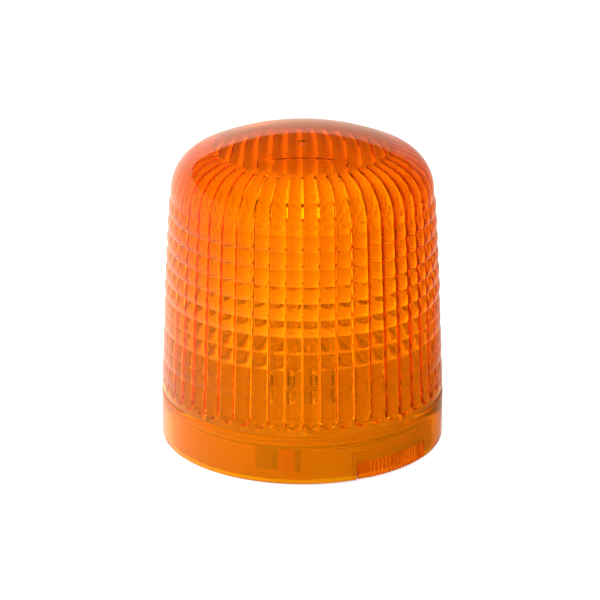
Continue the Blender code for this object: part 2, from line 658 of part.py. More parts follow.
def make_lamp():
    """Bayonet lamp: metal cap with two pins, blown glass open at its neck, and the filament."""
    profile = [(0, CAP_LOW), (2.2, CAP_LOW), (2.7, CAP_LOW + 1.2), (6.2, CAP_LOW + 1.6),
               (CAP_R, CAP_LOW + 2.6),
               (CAP_R, CAP_TOP), (CAP_R - 0.5, CAP_TOP), (CAP_R - 0.5, CAP_SOCKET_FLOOR),
               (0, CAP_SOCKET_FLOOR)]
    cap = turned("lamp_cap", profile, 24)
    pin = peg("pin_shape", 0.9, -PIN_REACH, PIN_REACH, (0, 0), 10)
    pin.rotation_euler = (0, math.radians(90), 0)
    pin.location = (0, 0, PIN_Z * MM)
    combine(cap, [pin], "UNION")
    paint(cap, "nickel_brass", (0.70, 0.68, 0.62), 0.25, 1.0)

    make_lamp_glass()
    low = CAP_SOCKET_FLOOR + 2 * FIT_GAP
    half_foot = 2.0
    bend = 34.0
    shoulder = 40.0
    points = [(-half_foot, 0, low), (-half_foot, 0, bend), (-FILAMENT_HALF, 0, shoulder),
              (-FILAMENT_HALF, 0, FILAMENT_Z), (FILAMENT_HALF, 0, FILAMENT_Z), (FILAMENT_HALF, 0, shoulder),
              (half_foot, 0, bend), (half_foot, 0, low)]
    filament = tube("lamp_filament", points, FILAMENT_WIRE)
    paint(filament, "tungsten", (0.35, 0.34, 0.33), 0.4, 1.0)


def make_lamp_glass():
    """Blown glass, open at its neck, with one wall outside and one inside that meet there."""
    neck_low = CAP_SOCKET_FLOOR + 0.4
    start = math.asin(GLASS_NECK_R / GLASS_R)
    steps = 8
    segments = 24
    walls = []
    for radius, neck_r in ((GLASS_R, GLASS_NECK_R), (GLASS_R - GLASS_WALL, GLASS_NECK_R - GLASS_WALL)):
        wall = [(neck_r, neck_low), (neck_r, GLASS_CENTRE_Z - GLASS_R * math.cos(start))]
        for step in range(1, steps):
            turn = start + (math.pi - start) * step / steps
            wall.append((radius * math.sin(turn), GLASS_CENTRE_Z - radius * math.cos(turn)))
        walls.append(wall + [(0.0, GLASS_CENTRE_Z + radius)])
    builder = bmesh.new()
    azimuths = [360.0 * index / segments for index in range(segments)]
    rings = [[[builder.verts.new(on_axis(radius, azimuth, height)) for radius, height in wall]
              for azimuth in azimuths] for wall in walls]
    outer, inner = rings
    for index in range(segments):
        after = (index + 1) % segments
        for columns in rings:
            here, there = columns[index], columns[after]
            for row in range(len(here) - 1):
                builder.faces.new((here[row], there[row], there[row + 1], here[row + 1]))
        builder.faces.new((outer[index][0], outer[after][0], inner[after][0], inner[index][0]))
    bulb = finish_mesh("lamp_glass", builder)
    paint(bulb, "clear_glass", (0.95, 0.97, 0.97), 0.02, alpha=0.3)


def make_contact():
    """Spring-loaded contact button under the lamp, and its coil spring."""
    profile = [(0, 8.0), (1.4, 8.0), (1.4, 9.4), (5.0, 9.4), (5.0, PLUNGER_TOP - 0.4), (4.6, PLUNGER_TOP),
               (0, PLUNGER_TOP)]
    plunger = turned("contact_plunger", profile, 20)
    paint(plunger, "contact_brass", (0.78, 0.60, 0.25), 0.3, 1.0)
    steps = 30
    rise = SPRING_HIGH - SPRING_LOW - 2 * SPRING_WIRE
    points = []
    for step in range(steps + 1):
        x, y = from_x(SPRING_COIL_R, 360.0 * SPRING_TURNS * step / steps)
        points.append((x, y, SPRING_LOW + SPRING_WIRE + rise * step / steps))
    spring = tube("contact_spring", points, SPRING_WIRE)
    paint(spring, "spring_steel", (0.65, 0.65, 0.66), 0.3, 1.0)


def main():
    for obj in list(bpy.data.objects):
        bpy.data.objects.remove(obj)
    make_lens()
    make_rating_plate()
    make_lock_tab()
    make_base_housing()
    make_base_rubber()
    make_board()
    make_terminals()
    make_reflector()
    make_mode_switch()
    make_lamp_holder()
    make_lamp()
    make_contact()


main()
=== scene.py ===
"""Looks of the amber dome warning light: fine lens, base, lamp, studio and camera around the fixed frame.

Lengths named here are in millimetres and become metres through MM. Azimuths are in degrees, measured
from the front (-Y) towards +X.
"""
import math

import bmesh
import bpy
import numpy as np
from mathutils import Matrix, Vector


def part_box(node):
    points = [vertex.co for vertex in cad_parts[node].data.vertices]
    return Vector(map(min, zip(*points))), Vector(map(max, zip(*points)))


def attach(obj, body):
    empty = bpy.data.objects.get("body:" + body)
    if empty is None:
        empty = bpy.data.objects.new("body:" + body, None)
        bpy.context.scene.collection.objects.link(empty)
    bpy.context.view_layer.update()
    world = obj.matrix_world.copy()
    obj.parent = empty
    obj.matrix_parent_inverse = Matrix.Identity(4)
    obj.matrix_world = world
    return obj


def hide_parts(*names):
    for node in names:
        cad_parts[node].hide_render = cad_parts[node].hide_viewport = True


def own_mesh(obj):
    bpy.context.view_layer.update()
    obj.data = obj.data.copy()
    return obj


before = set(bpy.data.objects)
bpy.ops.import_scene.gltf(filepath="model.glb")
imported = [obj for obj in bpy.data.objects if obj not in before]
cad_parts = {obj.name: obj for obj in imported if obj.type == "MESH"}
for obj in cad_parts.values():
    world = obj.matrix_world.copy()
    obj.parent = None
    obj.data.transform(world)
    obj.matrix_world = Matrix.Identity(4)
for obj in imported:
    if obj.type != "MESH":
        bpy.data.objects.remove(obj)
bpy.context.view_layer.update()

MM = 0.001
MERGE = 1e-7

# Outer shape of the lens
lens_low, lens_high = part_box("lens_dome")
COLLAR_R = lens_high[0] / MM
LENS_TOP = lens_high[2] / MM
RIM_Z = lens_low[2] / MM
COLLAR_FILLET = 1.6
RIM_ROUND = 1.6
WALL_TOP_R = 68.86
SHOULDER_Z = 136.3
SHOULDER_R = 22.6
CROWN_R = 138.3
WALL = 3.0

# Rings around the outside
RING_TOP_Z = 133.4
RING_PITCH = 8.86
RING_COUNT = 12
SINGLE_RINGS = 6
RING_HEIGHT = 0.95
BELT_HEIGHT = 0.62
BELT_NOTCH = 0.22
VALLEY_TOP_R = 68.8
VALLEY_FOOT_R = 74.4
VALLEY_SWELL = 0.4

# Relief on the crown
NUB_AT = 18.7
NUB_R = 2.8
NUB_EDGE = 1.2
NUB_DEPTH = 0.2
BAR_NEAR = 29.5
BAR_FAR = 36.0
BAR_FAR_EDGE = 38.5
BAR_LENGTH = 42.0
BAR_HEIGHT = 0.25
BAR_EDGE = 1.4

# Flutes up the inside
FLUTES = 50
FLUTE_DEPTH = 1.2
GROOVE_DEPTH = 0.6
GROOVE_SHARE = 0.07
GROOVE_STOPS = (0.0, 0.02, 0.045, 0.07, 0.09, 0.13, 0.2, 0.3, 0.4, 0.5)
FLUTE_FOOT_Z = 29.5
FLUTE_FOOT_ROUND = 4.5
WINDOW_R = 45.5
WINDOW_ROUND = 3.0

# Inside of the collar, as in the CAD model
LAND_R = 70.2
LAND_TOP = 22.8
INNER_FOOT_R = 71.4
INNER_FOOT_Z = 24.2
CHANNEL_R = 72.2
BAYONETS = 3
ENTRY_FROM = 3.4
ENTRY_TO = 21.2
CHANNEL_TO = 57.0
CHANNEL_ROUND = 1.6
LEDGE_TOP_START = 14.3
LEDGE_TOP_END = 15.9
ROOF_START = 18.2
ROOF_END = 19.6
PLATE_FROM = -18.9
PLATE_TO = -0.9
PLATE_LOW = 6.9
PLATE_HIGH = 19.0
PLATE_R = 70.5
PLATE_THICK = 0.4
PLATE_CORNER = 0.6
PLATE_SPLIT = -9.8
PLATE_SHADE_BAND = -3.2
PLATE_DOTS = -11.6
POCKET_R = 71.2
POCKET_MARGIN = 0.5
NOTCH_FROM = 22.0
NOTCH_TO = 58.2
NOTCH_TOP = 10.8
TAB_FROM = 22.9
TAB_TO = 57.9
TAB_TOP = 10.4
TAB_LOW = 0.6
TAB_INNER_R = 72.4
TAB_FACE_R = 74.45
TAB_RIBS = 16
TAB_RIB_FROM = 28.0
TAB_RIB_PITCH = 1.84
DOT_COUNT = 4
DOT_PITCH = 2.4
DOT_RISE = 0.14

# Base, its rubber parts and the plate in it
BASE_R = 69.6
BASE_INNER_R = 65.0
BASE_LOW = 1.5
FLOOR_TOP = 4.0
BASE_TOP = 25.0
GROOVE_R = 67.1
GROOVE_LOW = 19.2
GROOVE_HIGH = 22.6
LUG_FROM = 6.0
LUG_TO = 19.0
LUG_R = 71.8
LUG_LOW = 16.3
LUG_HIGH = 17.9
SEAL_CENTRE_R = 68.6
SEAL_CENTRE_Z = 20.9
SEAL_WIRE = 1.2
GASKET_IN = 58.6
GASKET_OUT = 65.4
GASKET_THICK = 1.2
BUSH_HOLE_R = 2.8
BUSH_NECK_R = 3.7
BUSH_COLLAR_R = 4.6
BUSH_TOP = 6.3
GROMMET_HOLE_R = 2.5
GROMMET_NECK_R = 4.2
GROMMET_COLLAR_R = 5.6
GROMMET_TOP = 7.2
BOLT_PLACE_R = 55.0
BOLT_ANGLES = (30.0, 150.0, 270.0)
POST_PLACE_R = 58.0
POST_ANGLES = (90.0, 210.0, 330.0)
STANDOFF_PLACE_R = 44.0
STANDOFF_TOP = 7.7
POST_TOP = 18.7
POST_R = 3.5
PILOT_R = 1.6
FLOOR_HOLE_R = 4.0
CABLE_PLACE_R = 56.0
CABLE_HOLE_R = 4.5
PLATE_IN = 12.0
PLATE_OUT = 64.4
PLATE_UNDER = 19.0
PLATE_FACE = 20.6
PLATE_LIP = 23.0
SWITCH_Y = 38.0
SWITCH_TRAVEL = 4.0
LEVER_FOOT = 15.7
LEVER_TOP = 23.8
LEVER_HALF_DEPTH = 1.3

# Lamp and its holder
CAP_R = 7.5
CAP_LOW = 11.0
CAP_TOP = 28.6
CAP_FLOOR = 23.5
CAP_BEAD = 21.4
PIN_R = 0.9
PIN_Z = 18.0
PIN_REACH = 8.7
GLASS_R = 13.2
GLASS_NECK_R = 6.6
GLASS_CENTRE_Z = 50.0
GLASS_WALL = 0.6
FILAMENT_HALF = 4.0
FILAMENT_TURNS = 16
FILAMENT_COIL_R = 0.24
HOLDER_R = 11.5
HOLDER_LOW = 4.4
HOLDER_FLOOR = 6.0
HOLDER_BORE_R = 7.9
HOLDER_TRACK_R = 9.2
HOLDER_FLANGE_R = 15.0
HOLDER_FLANGE_LOW = 20.9
HOLDER_TOP = 22.2
TRACK_HALF = 1.5
SLOT_AZIMUTHS = (115.0, 295.0)
SLOT_HALF = 9.6

# Spring under the lamp's contact
SPRING_LOW = 6.3
SPRING_HIGH = 9.1
SPRING_COIL_R = 3.3
SPRING_WIRE = 0.3
SPRING_TURNS = 2.5

# Amber plastic: colour and clearness, by height. The darker tint on the shoulder and crown is painted shade.
AMBER_TINT_AND_SHADE = ((25.0, (0.91, 0.37, 0.001)), (29.0, (0.92, 0.60, 0.004)), (90.0, (0.92, 0.60, 0.004)),
              (125.0, (0.84, 0.46, 0.003)), (155.0, (0.84, 0.46, 0.003)), (161.0, (0.68, 0.25, 0.001)))
TAB_TINT = ((2.0, (0.92, 0.20, 0.001)), (20.0, (0.92, 0.30, 0.001)))
AMBER_CLEAR = ((25.0, (0.84, 0.84, 0.84)), (29.0, (0.98, 0.98, 0.98)))

# Where the flutes' painted shade falls, by height, and how it darkens across a flute whose valley is at a
# half
FLUTE_SHADE_HEIGHTS = ((28.0, (0.0, 0.0, 0.0)), (31.0, (1.0, 1.0, 1.0)), (156.0, (1.0, 1.0, 1.0)),
          (160.0, (0.3, 0.3, 0.3)))
FLUTE_PAINTED_SHADE = ((0.02, (0.98, 0.92, 1.0)), (0.46, (1.0, 1.0, 1.0)), (0.5, (0.90, 0.72, 0.6)),
               (0.57, (0.92, 0.76, 0.6)), (0.64, (0.97, 0.90, 1.0)), (0.98, (0.98, 0.90, 1.0)))

# Studio: the floor's glow across X, the sky's brightness up and across, then lamps and camera in metres
FLOOR_GLOW = ((0.3, 2.6), (0.4, 2.4), (0.44, 1.9), (0.48, 0.9), (0.5, 0.6), (0.54, 0.6), (0.625, 0.9),
              (0.7, 0.7))
SKY_EDGE = (1.0 + math.sin(math.radians(21.0))) / 2
SKY_UP = ((0.45, 0.8), (0.5, 0.8), (SKY_EDGE, 0.75), (SKY_EDGE + 0.005, 0.04))
SKY_ACROSS = ((0.3, 1.7), (0.45, 1.15), (0.66, 0.65), (0.84, 0.06))
SKY_WARMTH = 0.93
LAMPS = (("overhead", (0.0, 0.0, 2.2), 3.0, 130.0), ("key_left", (-1.6, 0.1, 0.7), 1.0, 14.0),
         ("front_fill", (0.3, -2.4, 1.3), 1.6, 60.0))
LAMP_AIM = (0.0, 0.0, 0.08)
CAMERA_LENS = 177.5
CAMERA_PLACE = (-0.00125, -1.4704, 0.6157)
CAMERA_DOWN = 20.213

# How far to each side of an edge a section is looked up, in degrees
NUDGE = 0.01


# ---- mesh helpers ---------------------------------------------------------------------------

def on_axis(radius, azimuth, height):
    """Point at a radius, an azimuth from the front and a height, in metres."""
    turn = math.radians(azimuth)
    return (radius * math.sin(turn) * MM, -radius * math.cos(turn) * MM, height * MM)


def skin(name, columns, ring, closed_section, sharp=12.0):
    """Solid through columns of points: a full ring, or an arc whose two ends are capped."""
    rows = len(columns[0])
    vertices = [point for column in columns for point in column]
    faces = []
    row_stop = rows if closed_section else rows - 1
    column_stop = len(columns) if ring else len(columns) - 1
    for column in range(column_stop):
        here = column * rows
        there = (column + 1) % len(columns) * rows
        for row in range(row_stop):
            after = (row + 1) % rows
            faces.append((here + row, there + row, there + after, here + after))
    if not ring:
        faces.append(tuple(range(rows)))
        faces.append(tuple(range(len(vertices) - rows, len(vertices))))
    mesh = bpy.data.meshes.new(name)
    mesh.from_pydata(vertices, [], faces)
    builder = bmesh.new()
    builder.from_mesh(mesh)
    bmesh.ops.remove_doubles(builder, verts=builder.verts, dist=MERGE)
    bmesh.ops.recalc_face_normals(builder, faces=builder.faces)
    builder.to_mesh(mesh)
    builder.free()
    mesh.shade_smooth()
    mesh.set_sharp_from_angle(angle=math.radians(sharp))
    obj = bpy.data.objects.new(name, mesh)
    bpy.context.scene.collection.objects.link(obj)
    return obj


def between(value, keys):
    """Straight-line interpolation in (position, value) keys, held at both ends."""
    return float(np.interp(value, [key[0] for key in keys], [key[1] for key in keys]))


def spread(start, stop, count, last=True):
    """Evenly spaced values from start to stop."""
    return [float(value) for value in np.linspace(start, stop, count, endpoint=last)]


def stops_around(plain, edges, gap):
    """Azimuths in order, each with the place that picks its section: an edge has one on each side."""
    stops = [(value, value) for value in plain if all(abs(value - edge) > gap for edge in edges)]
    stops += [(edge, edge - NUDGE) for edge in edges] + [(edge, edge + NUDGE) for edge in edges]
    return sorted(stops, key=lambda stop: stop[1])


# ---- lens -----------------------------------------------------------------------------------

SHOULDER_CENTRE_R = WALL_TOP_R - SHOULDER_R
CROWN_CENTRE_Z = LENS_TOP - CROWN_R
TANGENT = math.atan2(SHOULDER_CENTRE_R, SHOULDER_Z - CROWN_CENTRE_Z)


def dome_point(turn, inset):
    """Point on the crown or the shoulder whose surface leans by an angle, moved inwards by an inset."""
    if turn < TANGENT:
        return (CROWN_R - inset) * math.sin(turn), CROWN_CENTRE_Z + (CROWN_R - inset) * math.cos(turn)
    return (SHOULDER_CENTRE_R + (SHOULDER_R - inset) * math.sin(turn),
            SHOULDER_Z + (SHOULDER_R - inset) * math.cos(turn))


def ring_radius(height):
    """Outer radius of the wall: valleys on a leaning line, with a convex ring or belt between them."""
    depth = (RING_TOP_Z - height) / RING_PITCH
    run = depth / RING_COUNT
    valley = VALLEY_TOP_R + (VALLEY_FOOT_R - VALLEY_TOP_R) * run + VALLEY_SWELL * math.sin(math.pi * run)
    if depth < SINGLE_RINGS:
        share = depth % 1.0
        return valley + RING_HEIGHT * (1.0 - (2.0 * share - 1.0) ** 2)
    share = (depth - SINGLE_RINGS) / 2.0 % 1.0
    crest = BELT_HEIGHT * (1.0 - (2.0 * share - 1.0) ** 4)
    notch = BELT_NOTCH * math.exp(-((share - 0.5) / 0.045) ** 2)
    return valley + crest - notch


def outer_rows():
    """Rows of the outside from the pole down to the collar's top."""
    radii = spread(0.0, NUB_AT - NUB_R - 1.0, 4) + spread(NUB_AT - NUB_R, NUB_AT + NUB_R, 15) + [25.0]
    radii += spread(BAR_NEAR - 1.0, BAR_FAR_EDGE, 20) + [41.0, 44.0]
    rows = [dome_point(math.asin(radius / CROWN_R), 0.0) for radius in radii]
    rows += [dome_point(turn, 0.0) for turn in spread(TANGENT, math.pi / 2, 16)]
    foot = RING_TOP_Z - RING_PITCH * RING_COUNT
    rows += [(ring_radius(height), height) for height in spread(RING_TOP_Z, foot, RING_COUNT * 8, last=False)]
    rows += [(VALLEY_FOOT_R, foot)]
    rise = COLLAR_R - VALLEY_FOOT_R
    for share in spread(0.0, 1.0, 7)[1:]:
        rows.append((VALLEY_FOOT_R + rise * math.sin(math.pi / 2 * share), foot - COLLAR_FILLET * share))
    return rows


def relief(radius, azimuth):
    """Height of the moulded relief on the crown: a round recess and a plain bar at the front."""
    turn = math.radians(azimuth)
    from_nub = math.hypot(radius * math.sin(turn), radius * math.cos(turn) - NUB_AT)
    nub = -NUB_DEPTH * min(max((NUB_R - from_nub) / NUB_EDGE, 0.0), 1.0)
    middle = (BAR_NEAR + BAR_FAR) / 2
    half = (BAR_FAR - BAR_NEAR) / 2
    along = max(abs(radius * math.sin(turn)) - (BAR_LENGTH / 2 - half), 0.0)
    away = math.hypot(along, abs(radius * math.cos(turn) - middle))
    bar = BAR_HEIGHT * min(max((half - away) / BAR_EDGE, 0.0), 1.0)
    return nub + bar


def collar_heights(azimuth):
    """Heights of the notch line, the ledge's top and the channel's roof at an azimuth."""
    local = azimuth % (360.0 / BAYONETS)
    round_start = CHANNEL_TO - CHANNEL_ROUND
    middle = (LEDGE_TOP_END + ROOF_END) / 2
    half = (ROOF_END - LEDGE_TOP_END) / 2
    ledge = between(local, [(ENTRY_FROM, LEDGE_TOP_START), (ENTRY_TO, LEDGE_TOP_START),
                            (round_start, LEDGE_TOP_END)])
    roof = between(local, [(ENTRY_FROM, ROOF_START), (round_start, ROOF_END)])
    if local > round_start:
        share = min((local - round_start) / CHANNEL_ROUND, 1.0)
        reach = half * math.sqrt(1.0 - share * share)
        ledge, roof = middle - reach, middle + reach
    signed = (azimuth + 180.0) % 360.0 - 180.0
    if PLATE_FROM - POCKET_MARGIN - 1e-6 <= signed <= PLATE_TO + POCKET_MARGIN + 1e-6:
        low = PLATE_LOW - POCKET_MARGIN
        return low - 0.8, low, PLATE_HIGH + POCKET_MARGIN
    return NOTCH_TOP, ledge, roof


def flute_depth(share, past, scale):
    """How far a flute stands in from the wall. Past its rounded end, the share of the end's length."""
    reach = math.hypot(2.0 * share - 1.0, max(past, 0.0))
    edge = (1.0 - reach) / (2.0 * GROOVE_SHARE)
    pillow = FLUTE_DEPTH * max(0.0, 1.0 - reach * reach)
    groove = GROOVE_DEPTH * min(max(edge, 0.0), 1.0)
    return (pillow + groove) * scale


def inner_rows(azimuth):
    """Rows of the inside, from the collar's land up to the pole."""
    share = azimuth * FLUTES / 360.0 % 1.0
    share = 0.0 if share > 1.0 - 1e-6 else share
    rows = [(LAND_R, LAND_TOP)]
    for turn in spread(0.0, math.pi / 2, 5)[1:]:
        lean = 1.0 - math.cos(turn)
        rise = math.sin(turn)
        rows.append((LAND_R + (INNER_FOOT_R - LAND_R) * lean, LAND_TOP + (INNER_FOOT_Z - LAND_TOP) * rise))
    end_centre = FLUTE_FOOT_Z + FLUTE_FOOT_ROUND
    heights = [FLUTE_FOOT_Z - 1.5] + spread(FLUTE_FOOT_Z, end_centre, 14)
    heights += spread(end_centre, SHOULDER_Z, 16)[1:]
    for height in heights:
        lean = (height - INNER_FOOT_Z) / (SHOULDER_Z - INNER_FOOT_Z)
        valley = INNER_FOOT_R + (WALL_TOP_R - WALL - INNER_FOOT_R) * lean
        past = (end_centre - height) / FLUTE_FOOT_ROUND
        rows.append((valley - flute_depth(share, past, 1.0), height))
    window = math.asin(WINDOW_R / (CROWN_R - WALL))
    window_arc = WINDOW_ROUND / (CROWN_R - WALL)
    turns = spread(math.pi / 2, TANGENT, 16)[1:] + spread(TANGENT, window + window_arc, 4)[1:]
    turns += spread(window + window_arc, window, 9)[1:] + spread(window, 0.0, 9)[1:]
    for turn in turns:
        past = (window + window_arc - turn) / window_arc
        scale = dome_point(turn, WALL)[0] / INNER_FOOT_R
        rows.append(dome_point(turn, WALL + flute_depth(share, past, scale)))
    rows[-1] = (0.0, rows[-1][1])
    return rows


OUTSIDE = outer_rows()


def lens_column(azimuth, place):
    """Section of the lens at an azimuth. The place, just beside it, says which features it cuts."""
    local = place % (360.0 / BAYONETS)
    signed = (place + 180.0) % 360.0 - 180.0
    in_entry = ENTRY_FROM < local < ENTRY_TO
    in_channel = ENTRY_FROM < local < CHANNEL_TO
    in_notch = NOTCH_FROM < signed < NOTCH_TO
    in_pocket = PLATE_FROM - POCKET_MARGIN < signed < PLATE_TO + POCKET_MARGIN
    notch_line, ledge_top, roof = collar_heights(azimuth)
    foot_r = CHANNEL_R if in_entry else LAND_R
    hollow_r = CHANNEL_R if in_channel else POCKET_R if in_pocket else LAND_R
    rim = [(COLLAR_R, notch_line)]
    for turn in spread(0.0, math.pi / 2, 7):
        radius = COLLAR_R - RIM_ROUND * (1.0 - math.cos(turn))
        rim.append((radius, RIM_Z + RIM_ROUND * (1.0 - math.sin(turn))))
    rim += [(CHANNEL_R, RIM_Z), (foot_r, RIM_Z)]
    if in_notch:
        rim = [(radius, NOTCH_TOP) for radius, height in rim]
    collar = [(foot_r, notch_line), (foot_r, ledge_top), (hollow_r, ledge_top), (hollow_r, roof),
              (LAND_R, roof)]
    outside = [(radius, height + relief(radius, azimuth) if radius < BAR_FAR_EDGE + 1.0 else height)
               for radius, height in OUTSIDE]
    section = outside + rim + collar + inner_rows(azimuth)
    return [on_axis(radius, azimuth, height) for radius, height in section]


def make_lens():
    """Fine lens in place of the CAD one."""
    third = 360.0 / BAYONETS
    edges = [NOTCH_FROM, NOTCH_TO, PLATE_FROM - POCKET_MARGIN, PLATE_TO + POCKET_MARGIN]
    shares = [*GROOVE_STOPS, *(1.0 - stop for stop in GROOVE_STOPS[-2:0:-1])]
    plain = [360.0 / FLUTES * (flute + share) for flute in range(FLUTES) for share in shares]
    for index in range(BAYONETS):
        edges += [index * third + value for value in (ENTRY_FROM, ENTRY_TO, CHANNEL_TO)]
    edges = [edge % 360.0 for edge in edges]
    columns = [lens_column(azimuth, place) for azimuth, place in stops_around(plain, edges, 0.08)]
    lens = skin("lens", columns, ring=True, closed_section=False)
    lens.data.materials.append(amber_plastic("amber_lens"))
    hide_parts("lens_dome")
    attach(lens, "lens")


def make_rating_plate():
    """Curved plate in two tones, with a darker band of painted shade at its right end, a column of raised
    dots, and no lettering.
    """
    azimuths = spread(PLATE_FROM, PLATE_TO, 25)
    columns = []
    for azimuth in azimuths:
        outer = PLATE_R + PLATE_THICK
        inset = PLATE_CORNER if azimuth in (azimuths[0], azimuths[-1]) else 0.0
        low, high = PLATE_LOW + inset, PLATE_HIGH - inset
        section = [(PLATE_R, low), (outer, low), (outer, high), (PLATE_R, high)]
        columns.append([on_axis(radius, azimuth, height) for radius, height in section])
    plate = skin("plate", columns, ring=False, closed_section=True, sharp=25.0)
    for name, color in (("plate_olive", (0.32, 0.11, 0.01)), ("plate_orange", (0.62, 0.03, 0.005)),
                        ("plate_painted_shade", (0.25, 0.02, 0.005))):
        plate.data.materials.append(plain_surface(name, color, 0.5))
    # the dark brown band at the right end is painted shade
    for face in plate.data.polygons:
        azimuth = math.degrees(math.atan2(face.center[0], -face.center[1]))
        face.material_index = 0 if azimuth < PLATE_SPLIT else 1 if azimuth < PLATE_SHADE_BAND else 2
    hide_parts("rating_plate")
    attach(plate, "lens")
    dark = plain_surface("plate_dots", (0.06, 0.03, 0.01), 0.5)
    for row in range(DOT_COUNT):
        height = PLATE_LOW + DOT_PITCH + DOT_PITCH * row
        azimuths = spread(PLATE_DOTS - 0.7, PLATE_DOTS + 0.7, 5)
        columns = []
        for azimuth in azimuths:
            half = 0.15 + 0.65 * math.sqrt(max(1.0 - ((azimuth - PLATE_DOTS) / 0.75) ** 2, 0.0))
            inner, outer = PLATE_R + PLATE_THICK + 0.02, PLATE_R + PLATE_THICK + DOT_RISE
            low, high = height - half, height + half
            section = [(inner, low), (outer, low), (outer, high), (inner, high)]
            columns.append([on_axis(radius, azimuth, level) for radius, level in section])
        dot = skin("plate_dot_%d" % (row + 1), columns, ring=False, closed_section=True)
        dot.data.materials.append(dark)
        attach(dot, "lens")


def make_lock_tab():
    """Press tab with rounded grip ribs."""
    stops = [(TAB_FROM, TAB_FACE_R), (TAB_FROM + 2.4, TAB_FACE_R), (TAB_FROM + 4.6, TAB_FACE_R)]
    rise = COLLAR_R - TAB_FACE_R
    for rib in range(TAB_RIBS):
        start = TAB_RIB_FROM + TAB_RIB_PITCH * rib
        for share in spread(0.0, 1.0, 9):
            stops.append((start + 1.2 * share, TAB_FACE_R + rise * math.sin(math.pi * share) ** 0.7))
    stops.append((TAB_TO, TAB_FACE_R))
    columns = []
    for azimuth, face in stops:
        section = [(face, 2.2), (face, TAB_TOP - 0.3), (face - 0.3, TAB_TOP), (TAB_INNER_R, TAB_TOP),
                   (TAB_INNER_R, TAB_LOW)]
        for turn in spread(math.pi / 2, 0.0, 5):
            section.append((face - 1.2 * (1.0 - math.cos(turn)), TAB_LOW + 1.2 * (1.0 - math.sin(turn))))
        columns.append([on_axis(radius, azimuth, height) for radius, height in section])
    tab = skin("press_tab", columns, ring=False, closed_section=True, sharp=25.0)
    tab.data.materials.append(amber_plastic("amber_tab", TAB_TINT))
    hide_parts("lock_tab")
    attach(tab, "tab")


# ---- base and lamp --------------------------------------------------------------------------

def rounded(profile, radius, closed=False):
    """Outline whose corners are rounded, apart from the two ends of an open one."""
    points = []
    count = len(profile)
    for index, corner in enumerate(profile):
        if not closed and index in (0, count - 1):
            points.append(corner)
            continue
        ends = []
        for other in (profile[index - 1], profile[(index + 1) % count]):
            span = math.dist(corner, other)
            share = min(radius / span, 0.45)
            ends.append([corner[axis] + (other[axis] - corner[axis]) * share for axis in (0, 1)])
        for step in spread(0.0, 1.0, 4):
            points.append(tuple((1 - step) ** 2 * ends[0][axis] + 2 * step * (1 - step) * corner[axis]
                                + step ** 2 * ends[1][axis] for axis in (0, 1)))
    return points


def turned(name, profile, segments, hole=False):
    """Turned solid. Without a hole, its profile ends on the axis."""
    azimuths = spread(0.0, 360.0, segments, last=False)
    columns = [[on_axis(radius, azimuth, height) for radius, height in profile] for azimuth in azimuths]
    return skin(name, columns, ring=True, closed_section=hole, sharp=35.0)


def from_x(radius, angle):
    """Place in the plan, in millimetres, at an angle from +X."""
    turn = math.radians(angle)
    return radius * math.cos(turn), radius * math.sin(turn)


def move_to(obj, place):
    """Puts an object at a place in the plan, turned a little so that no two edges coincide."""
    obj.location = (place[0] * MM, place[1] * MM, 0.0)
    obj.rotation_euler = (0.0, 0.0, math.radians(7.0))
    return obj


def bake(obj):
    """Turns an object's modifiers, or a curve's thickness, into its mesh."""
    bpy.context.view_layer.update()
    evaluated = obj.evaluated_get(bpy.context.evaluated_depsgraph_get())
    mesh = bpy.data.meshes.new_from_object(evaluated)
    if obj.type == "MESH":
        obj.modifiers.clear()
        obj.data = mesh
        return obj
    solid = bpy.data.objects.new(obj.name + "_solid", mesh)
    bpy.context.scene.collection.objects.link(solid)
    bpy.data.objects.remove(obj)
    solid.data.shade_smooth()
    return solid


def combine(target, tools, operation):
    """Union with or difference from several tools, which are then removed."""
    for tool in tools:
        boolean = target.modifiers.new(tool.name, "BOOLEAN")
        boolean.operation = operation
        boolean.solver = "EXACT"
        boolean.object = tool
    bake(target)
    for tool in tools:
        bpy.data.objects.remove(tool)
    target.data.shade_smooth()
    target.data.set_sharp_from_angle(angle=math.radians(35.0))


def stand_for(obj, node, body, material):
    """Gives a fine piece its material and lets it stand for a CAD node."""
    obj.data.materials.clear()
    obj.data.materials.append(material)
    if node:
        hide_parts(node)
    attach(obj, body)


def wire(name, points, radius, resolution=3):
    """Round wire through points in millimetres."""
    curve = bpy.data.curves.new(name, "CURVE")
    curve.dimensions = "3D"
    curve.bevel_depth = radius * MM
    curve.bevel_resolution = resolution
    curve.use_fill_caps = True
    spline = curve.splines.new("POLY")
    spline.points.add(len(points) - 1)
    for knot, point in zip(spline.points, points):
        knot.co = (point[0] * MM, point[1] * MM, point[2] * MM, 1.0)
    obj = bpy.data.objects.new(name, curve)
    bpy.context.scene.collection.objects.link(obj)
    return bake(obj)


def base_column(azimuth, place):
    """Section of the base at an azimuth, with a bayonet lug where the place is in one."""
    in_lug = LUG_FROM < place % (360.0 / BAYONETS) < LUG_TO
    lug_r = LUG_R if in_lug else BASE_R
    edge = 0.6
    profile = [(0, BASE_LOW), (BASE_R - edge, BASE_LOW), (BASE_R - edge * 0.3, BASE_LOW + edge * 0.3),
               (BASE_R, BASE_LOW + edge), (BASE_R, LUG_LOW), (lug_r, LUG_LOW), (lug_r, LUG_HIGH),
               (BASE_R, LUG_HIGH), (BASE_R, GROOVE_LOW), (GROOVE_R, GROOVE_LOW), (GROOVE_R, GROOVE_HIGH),
               (BASE_R, GROOVE_HIGH), (BASE_R, BASE_TOP - edge), (BASE_R - edge * 0.3, BASE_TOP - edge * 0.3),
               (BASE_R - edge, BASE_TOP), (BASE_INNER_R + 0.3, BASE_TOP), (BASE_INNER_R, BASE_TOP - 0.3),
               (BASE_INNER_R, FLOOR_TOP), (0, FLOOR_TOP)]
    return [on_axis(radius, azimuth, height) for radius, height in profile]


